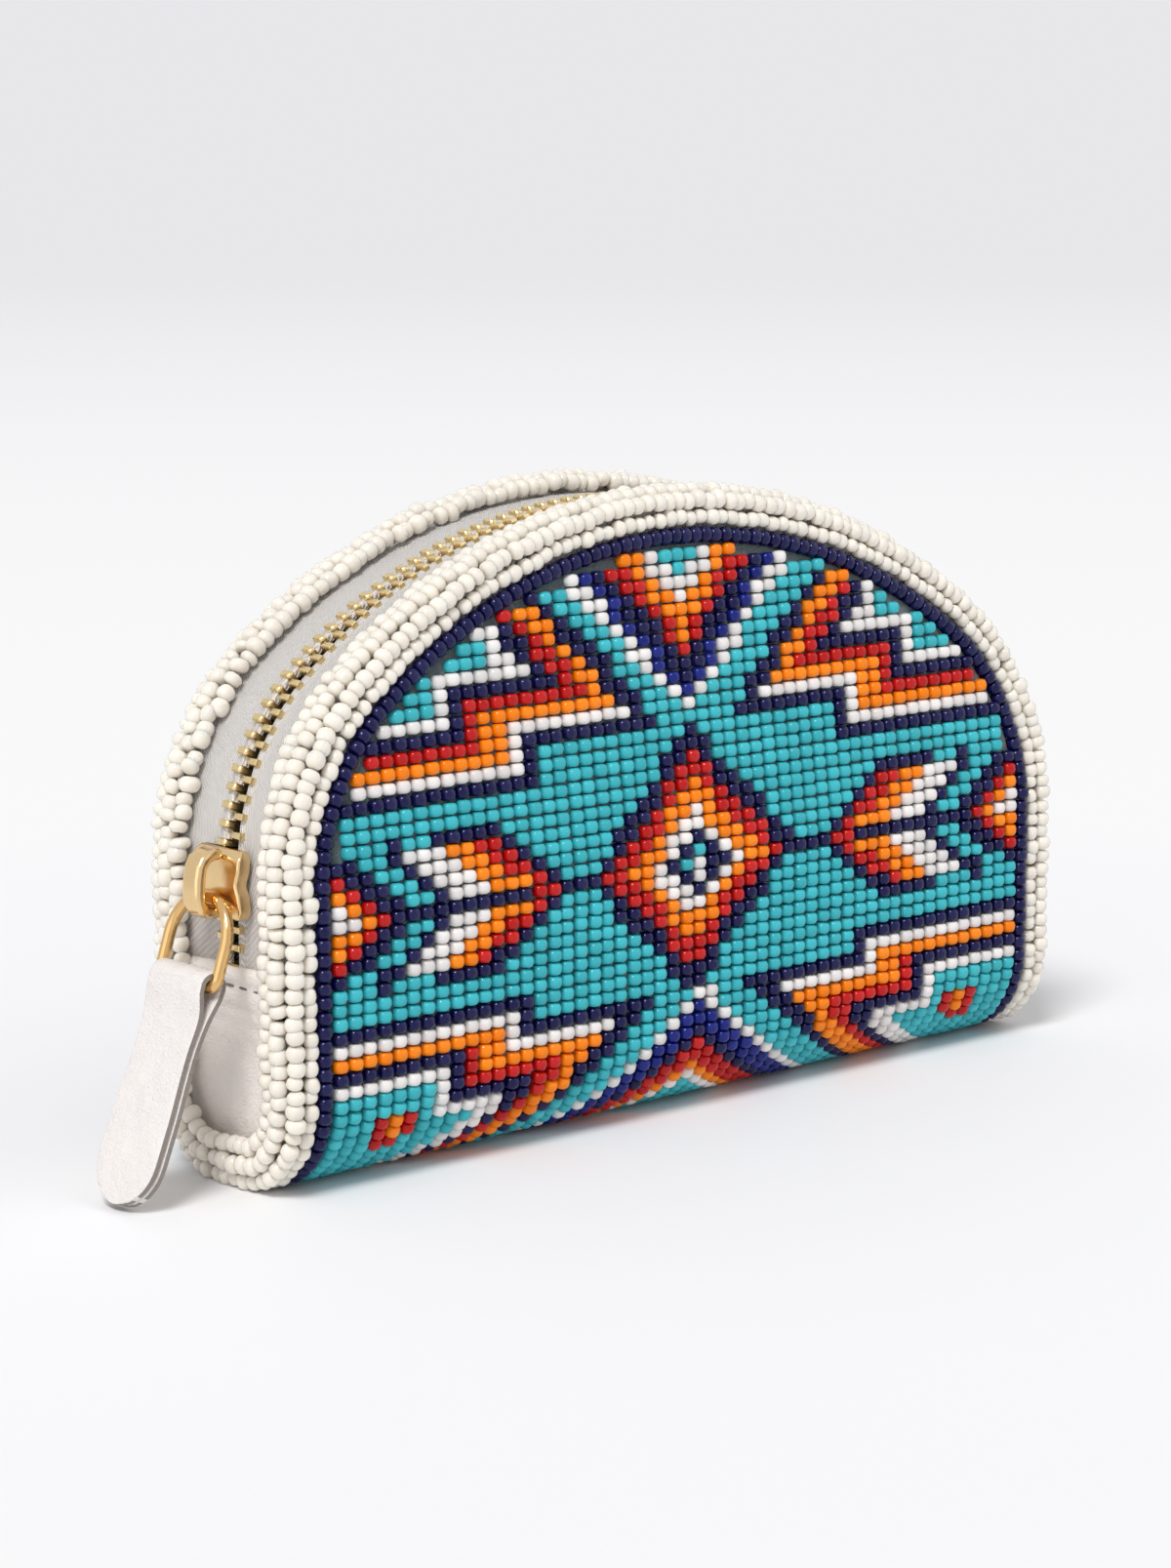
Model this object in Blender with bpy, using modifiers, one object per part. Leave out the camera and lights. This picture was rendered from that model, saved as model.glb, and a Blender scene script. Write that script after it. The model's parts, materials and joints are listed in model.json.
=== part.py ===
# Beaded coin purse: one beaded panel folded under as front, bottom and back, with a zip over its arch.
# Metres, +Z up. The front faces -Y, the zip's slider sits at the left end, which is -X.
# "edge" is how far a line lies outside the navy string, "depth" how far it lies under the bead crowns.
import math

import bmesh
import bpy
from mathutils import Vector

# The outline of the panel, measured at its navy string
HAUNCH_X = 0.0301
HAUNCH_Z = 0.0329
HAUNCH_RADIUS = 0.028
ARCH_RISE = 0.038
LEAN_SLOPE = 0.12

# The section, from the front face round the fold to the back face
HALF_DEPTH = 0.0134
FLAT_HALF = 0.003
FOLD_HEIGHT = 0.0115

# The chart of the beads: columns from the middle to a side, and rows from row zero to the crown
CHART_COLUMNS = 26.33
CHART_ROWS = 23.46
ROW_PITCH = 0.00162
ROW_ZERO_DROP = 0.0015

# Grooves between columns of beads, one at every third column
GROOVE_COLUMNS = 3
GROOVE_DEPTH = 0.0008
GROOVE_HALF_WIDTH = 0.00045

# Strings round the edge: the navy one, two pearl ones beside it and two more over the rolled edge
STRING_RADIUS = 0.0009
STRING_DEPTH = 0.00105
FIRST_PEARL_EDGE = 0.00215
SECOND_PEARL_EDGE = 0.0042
THIRD_PEARL_EDGE = 0.00497
FOURTH_PEARL_EDGE = 0.0047
THIRD_PEARL_DEPTH = 0.00305
FOURTH_PEARL_DEPTH = 0.00517

# Layers of the panel: clearance between neighbours, and the thickness of each
CLEARANCE = 0.0003
BEAD_LAYER = 0.0021
BACKING_THICKNESS = 0.0008
LINING_THICKNESS = 0.0007
LINING_MARGIN = 0.0004
FIELD_THICKNESS = 0.0003

# Zip
SLIT_HALF = 0.00055
TOOTH_LENGTH = 0.00135
CORD_WIDTH = 0.001
TEETH_THICKNESS = 0.002
TAPE_THICKNESS = 0.0008
TAPE_EDGE = 0.0025
TOOTH_PITCH = 0.0021
TOOTH_WIDTH = 0.00105
CHAIN_END_Z = 0.0262
TAPE_END_Z = 0.022
STOP_HEIGHT = 0.0024

# Slider, on the left haunch
SLIDER_TURN = math.radians(5.0)
SLIDER_LENGTH = 0.008
PLATE_HALF_WIDTH = 0.0043
PLATE_THICKNESS = 0.0012
LIP_WIDTH = 0.0008
RUNNING_GAP = 0.0005
INNER_HALF_WIDTH = 0.0032
INNER_THICKNESS = 0.0009
POST_HALF_WIDTH = 0.00025
BRIDGE_WIDTH = 0.0024
BRIDGE_HEIGHT = 0.0032
BRIDGE_STRIP = 0.0012
BRIDGE_LENGTH = 0.0077

# Pull ring and pull tab
WIRE_RADIUS = 0.00072
RING_HALF_WIDTH = 0.0053
RING_HEIGHT = 0.0101
RING_CORNER = 0.002
RING_LEAN = math.radians(18.2)
RING_SEAT_LEAD = -0.0015
TAB_LENGTH = 0.0253
TAB_FOLD_RADIUS = 0.00225
TAB_CAVITY_RADIUS = 0.0013
TAB_CAVITY_REACH = 0.0032
TAB_HALF_THICKNESS = 0.0012
TAB_NECK_HALF_WIDTH = 0.0042
TAB_END_HALF_WIDTH = 0.00525

# Leather gussets in the two ends
GUSSET_THICKNESS = 0.0009
GUSSET_TOP_Z = 0.0217
HEM_TOP_Z = 0.0258
HEM_BOTTOM_Z = 0.0205
HEM_HALF_WIDTH = 0.0069
HEM_THICKNESS = 0.0008

CROWN_STEPS = 6
HAUNCH_STEPS = 6
FOLD_STEPS = 5

FOLD_REACH = HALF_DEPTH - FLAT_HALF
FOLD_LENGTH = math.pi / 2 * math.sqrt(0.5 * (FOLD_REACH ** 2 + FOLD_HEIGHT ** 2))
HALF_WIDTH = HAUNCH_X + HAUNCH_RADIUS
CROWN_DROP = (HAUNCH_X ** 2 - (ARCH_RISE - HAUNCH_RADIUS) ** 2) / (2 * (ARCH_RISE - HAUNCH_RADIUS))
CROWN_RADIUS = CROWN_DROP + ARCH_RISE
CROWN_TURN = math.atan2(HAUNCH_X, CROWN_DROP)
BACKING_DEPTH = BEAD_LAYER + CLEARANCE
LINING_DEPTH = BACKING_DEPTH + BACKING_THICKNESS + CLEARANCE
GUSSET_DEPTH = LINING_DEPTH
PANEL_EDGE = -(STRING_RADIUS + CLEARANCE + 0.5 * CLEARANCE)
FIELD_EDGE = PANEL_EDGE - 0.5 * CLEARANCE
FIELD_FOOT = HAUNCH_Z - FOLD_HEIGHT + 0.74 * FOLD_LENGTH
ROW_ZERO_Z = HAUNCH_Z - ROW_ZERO_DROP
COLUMN_PITCH = (HALF_WIDTH + FIELD_EDGE) / CHART_COLUMNS
UPPER_ROW_PITCH = (HAUNCH_Z + ARCH_RISE + FIELD_EDGE - ROW_ZERO_Z) / CHART_ROWS
BACKING_EDGE = TAPE_EDGE + TAPE_THICKNESS + LINING_MARGIN
LINING_EDGE = TAPE_EDGE - CLEARANCE - 0.5 * LINING_MARGIN
CORD_OUTER = SLIT_HALF + TOOTH_LENGTH + CORD_WIDTH
TAPE_INNER = CORD_OUTER + CLEARANCE
TAPE_OUTER = HALF_DEPTH - LINING_DEPTH
TEETH_EDGE = TAPE_EDGE + 0.5 * TAPE_THICKNESS - 0.5 * TEETH_THICKNESS
PLATE_EDGE = TEETH_EDGE + TEETH_THICKNESS + RUNNING_GAP
LIP_EDGE = TAPE_EDGE + TAPE_THICKNESS + RUNNING_GAP
INNER_EDGE = TEETH_EDGE - RUNNING_GAP - INNER_THICKNESS
PLATE_TOP = PLATE_EDGE + PLATE_THICKNESS
BRIDGE_FOOT = PLATE_TOP + CLEARANCE

COLOURS = {
    "turquoise_bead": (0.040, 0.445, 0.479),
    "navy_bead": (0.017, 0.013, 0.114),
    "orange_bead": (1.000, 0.262, 0.003),
    "red_bead": (0.604, 0.014, 0.014),
    "white_bead": (0.863, 0.823, 0.807),
    "pearl_bead": (0.879, 0.839, 0.761),
    "felt": (0.28, 0.33, 0.32),
    "lining_cloth": (0.80, 0.78, 0.75),
    "zip_tape": (0.871, 0.839, 0.791),
    "leather": (0.791, 0.753, 0.730),
    "brass": (0.610, 0.376, 0.091),
}
METALS = {"brass"}
ROUGHNESS = {"brass": 0.3, "leather": 0.55, "zip_tape": 0.9, "felt": 0.95, "lining_cloth": 0.9}

for old in list(bpy.data.objects):
    bpy.data.objects.remove(old)

purse = bpy.data.collections.new("beaded_coin_purse")
cutters = bpy.data.collections.new("cutters")
bpy.context.scene.collection.children.link(purse)
bpy.context.scene.collection.children.link(cutters)


def finish_material(slot, name):
    material = bpy.data.materials.new(name)
    material.use_nodes = True
    shader = material.node_tree.nodes["Principled BSDF"]
    shader.inputs["Base Color"].default_value = (*COLOURS[slot], 1.0)
    shader.inputs["Roughness"].default_value = ROUGHNESS.get(slot, 0.2)
    shader.inputs["Metallic"].default_value = 1.0 if slot in METALS else 0.0
    return material


def add_object(name, data, slot, collection=purse):
    made = bpy.data.objects.new(name, data)
    collection.objects.link(made)
    data.materials.append(finish_material(slot, name))
    return made


def mesh_from(bm, name):
    data = bpy.data.meshes.new(name)
    bm.to_mesh(data)
    bm.free()
    return data


def thicken(made, thickness, offset=-1.0):
    solid = made.modifiers.new("thickness", "SOLIDIFY")
    solid.thickness = thickness
    solid.offset = offset
    return solid


def lean(z):
    # Above the haunches the whole purse leans back by the same slope.
    return max(0.0, z - HAUNCH_Z) * LEAN_SLOPE


def rim(edge, turn, drop=0.0):
    # A point of the arch: turn is the outward normal's angle from straight up, negative on the left.
    side = abs(turn)
    if side <= CROWN_TURN:
        centre_x, centre_z, radius = 0.0, HAUNCH_Z - CROWN_DROP, CROWN_RADIUS + edge
    else:
        centre_x, centre_z, radius = HAUNCH_X, HAUNCH_Z, HAUNCH_RADIUS + edge
    x = centre_x + radius * math.sin(side)
    return math.copysign(x, turn), centre_z + radius * math.cos(side) - drop


def half_arch_turns():
    # From the crown's middle to the haunch's foot.
    crown = [CROWN_TURN * step / CROWN_STEPS for step in range(CROWN_STEPS + 1)]
    rest = math.pi / 2 - CROWN_TURN
    haunch = [CROWN_TURN + rest * (step + 1) / HAUNCH_STEPS for step in range(HAUNCH_STEPS)]
    return crown + haunch


def arch_turns():
    half = half_arch_turns()
    return [-turn for turn in reversed(half)] + half[1:]


def fold(depth, turn):
    # The fold is a quarter of an ellipse: turn 0 is its upright end, a right angle its foot.
    out = FLAT_HALF + (FOLD_REACH - depth) * math.cos(turn)
    return out, FOLD_HEIGHT - (FOLD_HEIGHT - depth) * math.sin(turn)


def fold_turns():
    return [math.pi / 2 * step / FOLD_STEPS for step in range(FOLD_STEPS + 1)]


def folded_sheet(name, slot, depth, thickness, edge):
    # Rows run across the sheet, from the front apex down, under and up the back.
    over = [rim(edge, max(turn, 0.5 * CROWN_TURN / CROWN_STEPS)) for turn in half_arch_turns()]
    half = [(depth - HALF_DEPTH + lean(z), z, x) for x, z in over]
    back = [(HALF_DEPTH - depth + lean(z), z, x) for _, z, x in reversed(half)]
    wide = HALF_WIDTH + edge
    front_fold = [(-out, z, wide) for out, z in (fold(depth, turn) for turn in fold_turns())]
    back_fold = [(-y, z, x) for y, z, x in reversed(front_fold)]
    bm = bmesh.new()
    rows = []
    for y, z, x in half + front_fold + back_fold + back:
        rows.append((bm.verts.new((-x, y, z)), bm.verts.new((x, y, z))))
    for upper, lower in zip(rows, rows[1:]):
        bm.faces.new((upper[0], lower[0], lower[1], upper[1]))
    made = add_object(name, mesh_from(bm, name), slot)
    thicken(made, thickness)
    return made


def groove_way(depth):
    # The way of a groove in its own plane: down the front, round the fold, under and up the back.
    face = [(HALF_DEPTH - depth, z) for z in (HAUNCH_Z + ARCH_RISE, HAUNCH_Z)]
    half = face + [fold(depth, turn) for turn in fold_turns()]
    front = [(lean(z) - out, z) for out, z in half]
    back = [(lean(z) + out, z) for out, z in reversed(half)]
    return front + back


def column_grooves(made):
    # Bars of three sides, wide above the crowns of the beads and sharp at the groove's bottom.
    above = 2 * CLEARANCE
    wide = GROOVE_HALF_WIDTH * (GROOVE_DEPTH + above) / GROOVE_DEPTH
    outer, inner = groove_way(-above), groove_way(GROOVE_DEPTH)
    pairs = int((CHART_COLUMNS / GROOVE_COLUMNS) + 0.5)
    bm = bmesh.new()
    for index in range(-pairs, pairs):
        x = (index + 0.5) * GROOVE_COLUMNS * COLUMN_PITCH
        loops = [[bm.verts.new((x - wide, *far)), bm.verts.new((x + wide, *far)), bm.verts.new((x, *near))]
                 for far, near in zip(outer, inner)]
        for first, second in zip(loops, loops[1:]):
            for corner in range(3):
                following = (corner + 1) % 3
                bm.faces.new((first[corner], first[following], second[following], second[corner]))
        bm.faces.new(loops[0])
        bm.faces.new(loops[-1])
    bmesh.ops.recalc_face_normals(bm, faces=bm.faces)
    bars = add_object("groove_bars", mesh_from(bm, "groove_bars"), "turquoise_bead", cutters)
    bars.hide_render = True
    bars.display_type = "WIRE"
    cut = made.modifiers.new("grooves", "BOOLEAN")
    cut.object = bars
    cut.operation = "DIFFERENCE"


def bead_string(name, slot, edge, depth):
    # One closed string: over the front arch, round one end's U, over the back arch and round the other.
    over = [rim(edge, turn) for turn in arch_turns()]
    front = [(x, depth - HALF_DEPTH + lean(z), z) for x, z in over]
    back = [(x, HALF_DEPTH - depth + lean(z), z) for x, z in reversed(over)]
    wide = HALF_WIDTH + edge
    curl = [fold(depth, turn) for turn in fold_turns()]
    right = [(wide, -out, z) for out, z in curl] + [(wide, out, z) for out, z in reversed(curl)]
    left = [(-wide, -y, z) for _, y, z in right]
    points = front + right + back + left
    curve = bpy.data.curves.new(name, "CURVE")
    curve.dimensions = "3D"
    curve.bevel_depth = STRING_RADIUS
    curve.bevel_resolution = 1
    spline = curve.splines.new("POLY")
    spline.points.add(len(points) - 1)
    for point, place in zip(spline.points, points):
        point.co = (*place, 1.0)
    spline.use_cyclic_u = True
    return add_object(name, curve, slot)


def swept(name, slot, sections):
    # A closed skin through matching loops of points, capped at both ends.
    bm = bmesh.new()
    loops = [[bm.verts.new(point) for point in section] for section in sections]
    count = len(loops[0])
    for first, second in zip(loops, loops[1:]):
        for index in range(count):
            following = (index + 1) % count
            bm.faces.new((first[index], first[following], second[following], second[index]))
    bm.faces.new(loops[0])
    bm.faces.new(loops[-1])
    bmesh.ops.recalc_face_normals(bm, faces=bm.faces)
    return add_object(name, mesh_from(bm, name), slot)


def zip_tape(name, side):
    corners = [(TAPE_INNER, TAPE_EDGE), (TAPE_OUTER, TAPE_EDGE),
               (TAPE_OUTER, TAPE_EDGE + TAPE_THICKNESS), (TAPE_INNER, TAPE_EDGE + TAPE_THICKNESS)]
    foot = HAUNCH_Z - TAPE_END_Z
    turns = arch_turns()
    stations = [(turns[0], foot)] + [(turn, 0.0) for turn in turns] + [(turns[-1], foot)]
    sections = []
    for turn, drop in stations:
        section = []
        for out, edge in corners:
            x, z = rim(edge, turn, drop)
            section.append((x, side * out + lean(z), z))
        sections.append(section)
    return swept(name, "zip_tape", sections)


def chain_station(travel, edge):
    # The place on the chain at a length from its crown, negative to the left.
    length = abs(travel)
    crown_length = (CROWN_RADIUS + edge) * CROWN_TURN
    haunch_length = (HAUNCH_RADIUS + edge) * (math.pi / 2 - CROWN_TURN)
    if length <= crown_length:
        turn, drop = length / (CROWN_RADIUS + edge), 0.0
    elif length <= crown_length + haunch_length:
        turn, drop = CROWN_TURN + (length - crown_length) / (HAUNCH_RADIUS + edge), 0.0
    else:
        turn, drop = math.pi / 2, length - crown_length - haunch_length
    return math.copysign(turn, travel), drop


def tooth_row(name, side, shift):
    # A corded edge with a tooth at each pitch, drawn as one flat comb and thickened.
    middle = TEETH_EDGE + 0.5 * TEETH_THICKNESS
    half_length = ((CROWN_RADIUS + middle) * CROWN_TURN + (HAUNCH_RADIUS + middle) * (math.pi / 2 - CROWN_TURN)
                   + HAUNCH_Z - CHAIN_END_Z)
    count = int((2 * half_length - TOOTH_WIDTH) / TOOTH_PITCH)
    start = -0.5 * count * TOOTH_PITCH + shift
    stations = [-half_length]
    for index in range(count):
        stations.append(start + index * TOOTH_PITCH)
        stations.append(start + index * TOOTH_PITCH + TOOTH_WIDTH)
    stations.append(half_length)
    outs = [SLIT_HALF, SLIT_HALF + TOOTH_LENGTH, CORD_OUTER]
    bm = bmesh.new()
    rows = []
    for travel in stations:
        x, z = rim(TEETH_EDGE, *chain_station(travel, middle))
        rows.append([bm.verts.new((x, side * out + lean(z), z)) for out in outs])
    for index, (first, second) in enumerate(zip(rows, rows[1:])):
        faces = [(first[1], first[2], second[2], second[1])]
        if index % 2 == 1:
            faces.append((first[0], first[1], second[1], second[0]))
        for face in faces:
            bm.faces.new(face if side < 0 else face[::-1])
    loose = [vert for vert in bm.verts if not vert.link_faces]
    bmesh.ops.delete(bm, geom=loose, context="VERTS")
    made = add_object(name, mesh_from(bm, name), "brass")
    thicken(made, TEETH_THICKNESS, 1.0)
    return made


def zip_stop(name, side):
    # A small square stop under the hem, between the two tapes.
    top = CHAIN_END_Z - CLEARANCE
    half = TAPE_INNER - CLEARANCE
    inner, outer = TEETH_EDGE, TAPE_EDGE + TAPE_THICKNESS
    bm = bmesh.new()
    bmesh.ops.create_cube(bm, size=1.0)
    bmesh.ops.scale(bm, verts=bm.verts, vec=(outer - inner, 2 * half, STOP_HEIGHT))
    middle = side * (HALF_WIDTH + 0.5 * (inner + outer))
    bmesh.ops.translate(bm, verts=bm.verts, vec=(middle, 0.0, top - 0.5 * STOP_HEIGHT))
    return add_object(name, mesh_from(bm, name), "brass")


def slider_point(turn, out, edge):
    # On the left haunch, turn is measured up from level.
    radius = HAUNCH_RADIUS + edge
    z = HAUNCH_Z + radius * math.sin(turn)
    return (-HAUNCH_X - radius * math.cos(turn), out + LEAN_SLOPE * (z - HAUNCH_Z), z)


def slider_section(width):
    # Half of the section from the outer plate's middle to the inner plate's, then mirrored.
    outer = PLATE_HALF_WIDTH * width
    half = [(outer, PLATE_TOP), (outer, LIP_EDGE), (outer - LIP_WIDTH, LIP_EDGE), (outer - LIP_WIDTH, PLATE_EDGE),
            (POST_HALF_WIDTH, PLATE_EDGE), (POST_HALF_WIDTH, INNER_EDGE + INNER_THICKNESS),
            (INNER_HALF_WIDTH * width, INNER_EDGE + INNER_THICKNESS), (INNER_HALF_WIDTH * width, INNER_EDGE)]
    return half + [(-out, edge) for out, edge in reversed(half)]


def slider_body():
    # Shoulders, a waist and a tapered foot, as on a cast slider.
    waves = [0.93, 0.98, 1.0, 0.97, 0.95, 0.96, 0.99, 0.96, 0.93]
    reach = 0.5 * SLIDER_LENGTH / (HAUNCH_RADIUS + PLATE_TOP)
    sections = []
    for index, width in enumerate(waves):
        turn = SLIDER_TURN - reach + 2 * reach * index / (len(waves) - 1)
        sections.append([slider_point(turn, out, edge) for out, edge in slider_section(width)])
    return swept("slider_body", "brass", sections)


SLIDER_UP = Vector((math.sin(SLIDER_TURN), 0.0, math.cos(SLIDER_TURN)))
SLIDER_OUT = Vector((-math.cos(SLIDER_TURN), 0.0, math.sin(SLIDER_TURN)))


def slider_place(lead, edge, out=0.0):
    # A point by its lead along the travel and its height off the tape.
    centre = Vector((-HAUNCH_X, 0.0, HAUNCH_Z))
    place = centre + SLIDER_OUT * (HAUNCH_RADIUS + edge) + SLIDER_UP * lead
    place.y = out + LEAN_SLOPE * (place.z - HAUNCH_Z)
    return place


RING_TOP = slider_place(RING_SEAT_LEAD, PLATE_TOP + WIRE_RADIUS + CLEARANCE)
RING_DOWN = Vector((-math.sin(RING_LEAN), 0.0, -math.cos(RING_LEAN)))
RING_BOTTOM = RING_TOP + RING_DOWN * RING_HEIGHT


def slider_bridge():
    # A bent strip that stands on the slider by its two feet.
    half = 0.5 * BRIDGE_LENGTH
    top, strip = BRIDGE_FOOT + BRIDGE_HEIGHT, BRIDGE_STRIP
    shoulder = BRIDGE_FOOT + strip
    outer = [(-half + 0.2 * strip, BRIDGE_FOOT), (-half, shoulder), (-half + 0.6 * strip, top - 0.2 * strip),
             (-half + 1.7 * strip, top), (half - 1.3 * strip, top - 0.3 * strip),
             (half - 0.2 * strip, shoulder), (half, BRIDGE_FOOT)]
    inner = [(half - strip, BRIDGE_FOOT), (half - 1.1 * strip, BRIDGE_FOOT + 0.7 * strip),
             (half - 1.6 * strip, top - 1.3 * strip), (-half + 1.8 * strip, top - strip),
             (-half + 1.1 * strip, top - 1.2 * strip), (-half + 0.8 * strip, shoulder),
             (-half + strip, BRIDGE_FOOT)]
    sections = []
    for out in (-0.5 * BRIDGE_WIDTH, 0.5 * BRIDGE_WIDTH):
        sections.append([slider_place(lead, edge, out) for lead, edge in outer + inner])
    return swept("slider_bridge", "brass", sections)


def pull_ring():
    # A D of wire: a half round on top, two short strands and a straight bar below.
    points = []
    for step in range(13):
        angle = math.pi * step / 12
        points.append((RING_HALF_WIDTH * math.cos(angle), RING_HALF_WIDTH * (1 - math.sin(angle))))
    for step in range(5):
        angle = math.pi / 2 * step / 4
        points.append((-RING_HALF_WIDTH + RING_CORNER * (1 - math.cos(angle)),
                       RING_HEIGHT - RING_CORNER * (1 - math.sin(angle))))
    for step in range(5):
        angle = math.pi / 2 * (4 - step) / 4
        points.append((RING_HALF_WIDTH - RING_CORNER * (1 - math.cos(angle)),
                       RING_HEIGHT - RING_CORNER * (1 - math.sin(angle))))
    curve = bpy.data.curves.new("pull_ring", "CURVE")
    curve.dimensions = "3D"
    curve.bevel_depth = WIRE_RADIUS
    curve.bevel_resolution = 2
    spline = curve.splines.new("POLY")
    spline.points.add(len(points) - 1)
    for point, (out, down) in zip(spline.points, points):
        place = RING_DOWN * down
        point.co = (place.x, out, place.z, 1.0)
    spline.use_cyclic_u = True
    made = add_object("pull_ring", curve, "brass")
    made.location = RING_TOP
    return made


def tab_half_thickness(down):
    if down < 0:
        return math.sqrt(max(TAB_FOLD_RADIUS ** 2 - down ** 2, 0.0))
    share = min(down / (3.2 * TAB_FOLD_RADIUS), 1.0)
    return TAB_FOLD_RADIUS + (TAB_HALF_THICKNESS - TAB_FOLD_RADIUS) * math.sin(share * math.pi / 2)


def tab_half_width(down):
    swell = min(max((down - 0.35 * TAB_LENGTH) / (0.45 * TAB_LENGTH), 0.0), 1.0)
    width = TAB_NECK_HALF_WIDTH + (TAB_END_HALF_WIDTH - TAB_NECK_HALF_WIDTH) * swell * swell * (3 - 2 * swell)
    past = down - (TAB_LENGTH - TAB_END_HALF_WIDTH)
    if past > 0:
        width = min(width, math.sqrt(max(TAB_END_HALF_WIDTH ** 2 - past ** 2, 0.0)))
    return width


def pull_tab():
    # A strip of leather folded over the ring's lower bar, with both ends glued together below.
    fold_downs = [-TAB_FOLD_RADIUS * math.cos(math.radians(angle)) for angle in (20, 45, 68)]
    flat_downs = [TAB_LENGTH * share for share in (0.0, 0.08, 0.17, 0.28, 0.4, 0.55, 0.7, 0.8)]
    round_part = TAB_LENGTH - TAB_END_HALF_WIDTH
    tip_downs = [round_part + TAB_END_HALF_WIDTH * math.sin(math.radians(angle)) for angle in (15, 35, 55, 72, 84)]
    sections = []
    for down in fold_downs + flat_downs + tip_downs:
        thick, wide = tab_half_thickness(down), tab_half_width(down)
        sections.append([(thick, -wide, -down), (thick, wide, -down), (-thick, wide, -down), (-thick, -wide, -down)])
    made = swept("pull_tab", "leather", sections)
    angles = [math.radians(-30 + 240 * step / 12) for step in range(13)]
    drop_profile = [(TAB_CAVITY_RADIUS * math.cos(angle), TAB_CAVITY_RADIUS * math.sin(angle)) for angle in angles]
    drop_profile.append((0.0, -TAB_CAVITY_REACH))
    reach = 1.5 * TAB_NECK_HALF_WIDTH
    cutter = swept("tab_eye", "leather", [[(x, y, z) for x, z in drop_profile] for y in (-reach, reach)])
    purse.objects.unlink(cutter)
    cutters.objects.link(cutter)
    cutter.hide_render = True
    cutter.display_type = "WIRE"
    eye = made.modifiers.new("eye", "BOOLEAN")
    eye.object = cutter
    eye.operation = "DIFFERENCE"
    for piece in (made, cutter):
        piece.location = RING_BOTTOM
        piece.rotation_euler = (0.0, RING_LEAN, 0.0)
    return made


def gusset(name, side):
    # Leather fills the end inside the strings; its folded hem laps over the zip's end.
    curl = [fold(GUSSET_DEPTH, turn) for turn in fold_turns()]
    half = [(TAPE_OUTER, GUSSET_TOP_Z)] + curl
    outline = half + [(-out, z) for out, z in reversed(half)]
    inner = side * (HALF_WIDTH + TAPE_EDGE - 0.5 * (GUSSET_THICKNESS - TAPE_THICKNESS))
    outer = inner + side * GUSSET_THICKNESS
    made = swept(name, "leather", [[(x, y, z) for y, z in outline] for x in (inner, outer)])
    lap = abs(outer) + CLEARANCE
    root = abs(outer) - 0.3 * GUSSET_THICKNESS
    profile = [(root, HEM_BOTTOM_Z), (lap + HEM_THICKNESS, HEM_BOTTOM_Z), (lap + HEM_THICKNESS, HEM_TOP_Z),
               (lap, HEM_TOP_Z), (lap, GUSSET_TOP_Z - CLEARANCE), (root, GUSSET_TOP_Z - CLEARANCE)]
    hem = swept(name + "_hem", "leather",
                [[(side * x, y, z) for x, z in profile] for y in (-HEM_HALF_WIDTH, HEM_HALF_WIDTH)])
    purse.objects.unlink(hem)
    cutters.objects.link(hem)
    hem.hide_render = True
    hem.display_type = "WIRE"
    join = made.modifiers.new("hem", "BOOLEAN")
    join.object = hem
    join.operation = "UNION"
    return made


def skin_place(x, run, proud):
    # run is the length down the front from the haunch line, negative above it.
    z = HAUNCH_Z - run
    straight = HAUNCH_Z - FOLD_HEIGHT
    if run <= straight:
        return (x, -HALF_DEPTH - proud + lean(z), z)
    turn = min((run - straight) / FOLD_LENGTH, 1.0) * math.pi / 2
    out, low = fold(-proud, turn)
    return (x, -out, low)


def cut_flat(bm, place, outward, clear):
    geometry = bm.verts[:] + bm.edges[:] + bm.faces[:]
    bmesh.ops.bisect_plane(bm, geom=geometry, dist=1e-7, plane_co=place, plane_no=outward, clear_outer=clear)


def chart_place(column, row):
    # Above row zero the rows share out the height of the arch, below it they keep their own pitch.
    pitch = UPPER_ROW_PITCH if row < 0 else ROW_PITCH
    return (column * COLUMN_PITCH, ROW_ZERO_Z - row * pitch, 0.0)


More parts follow.
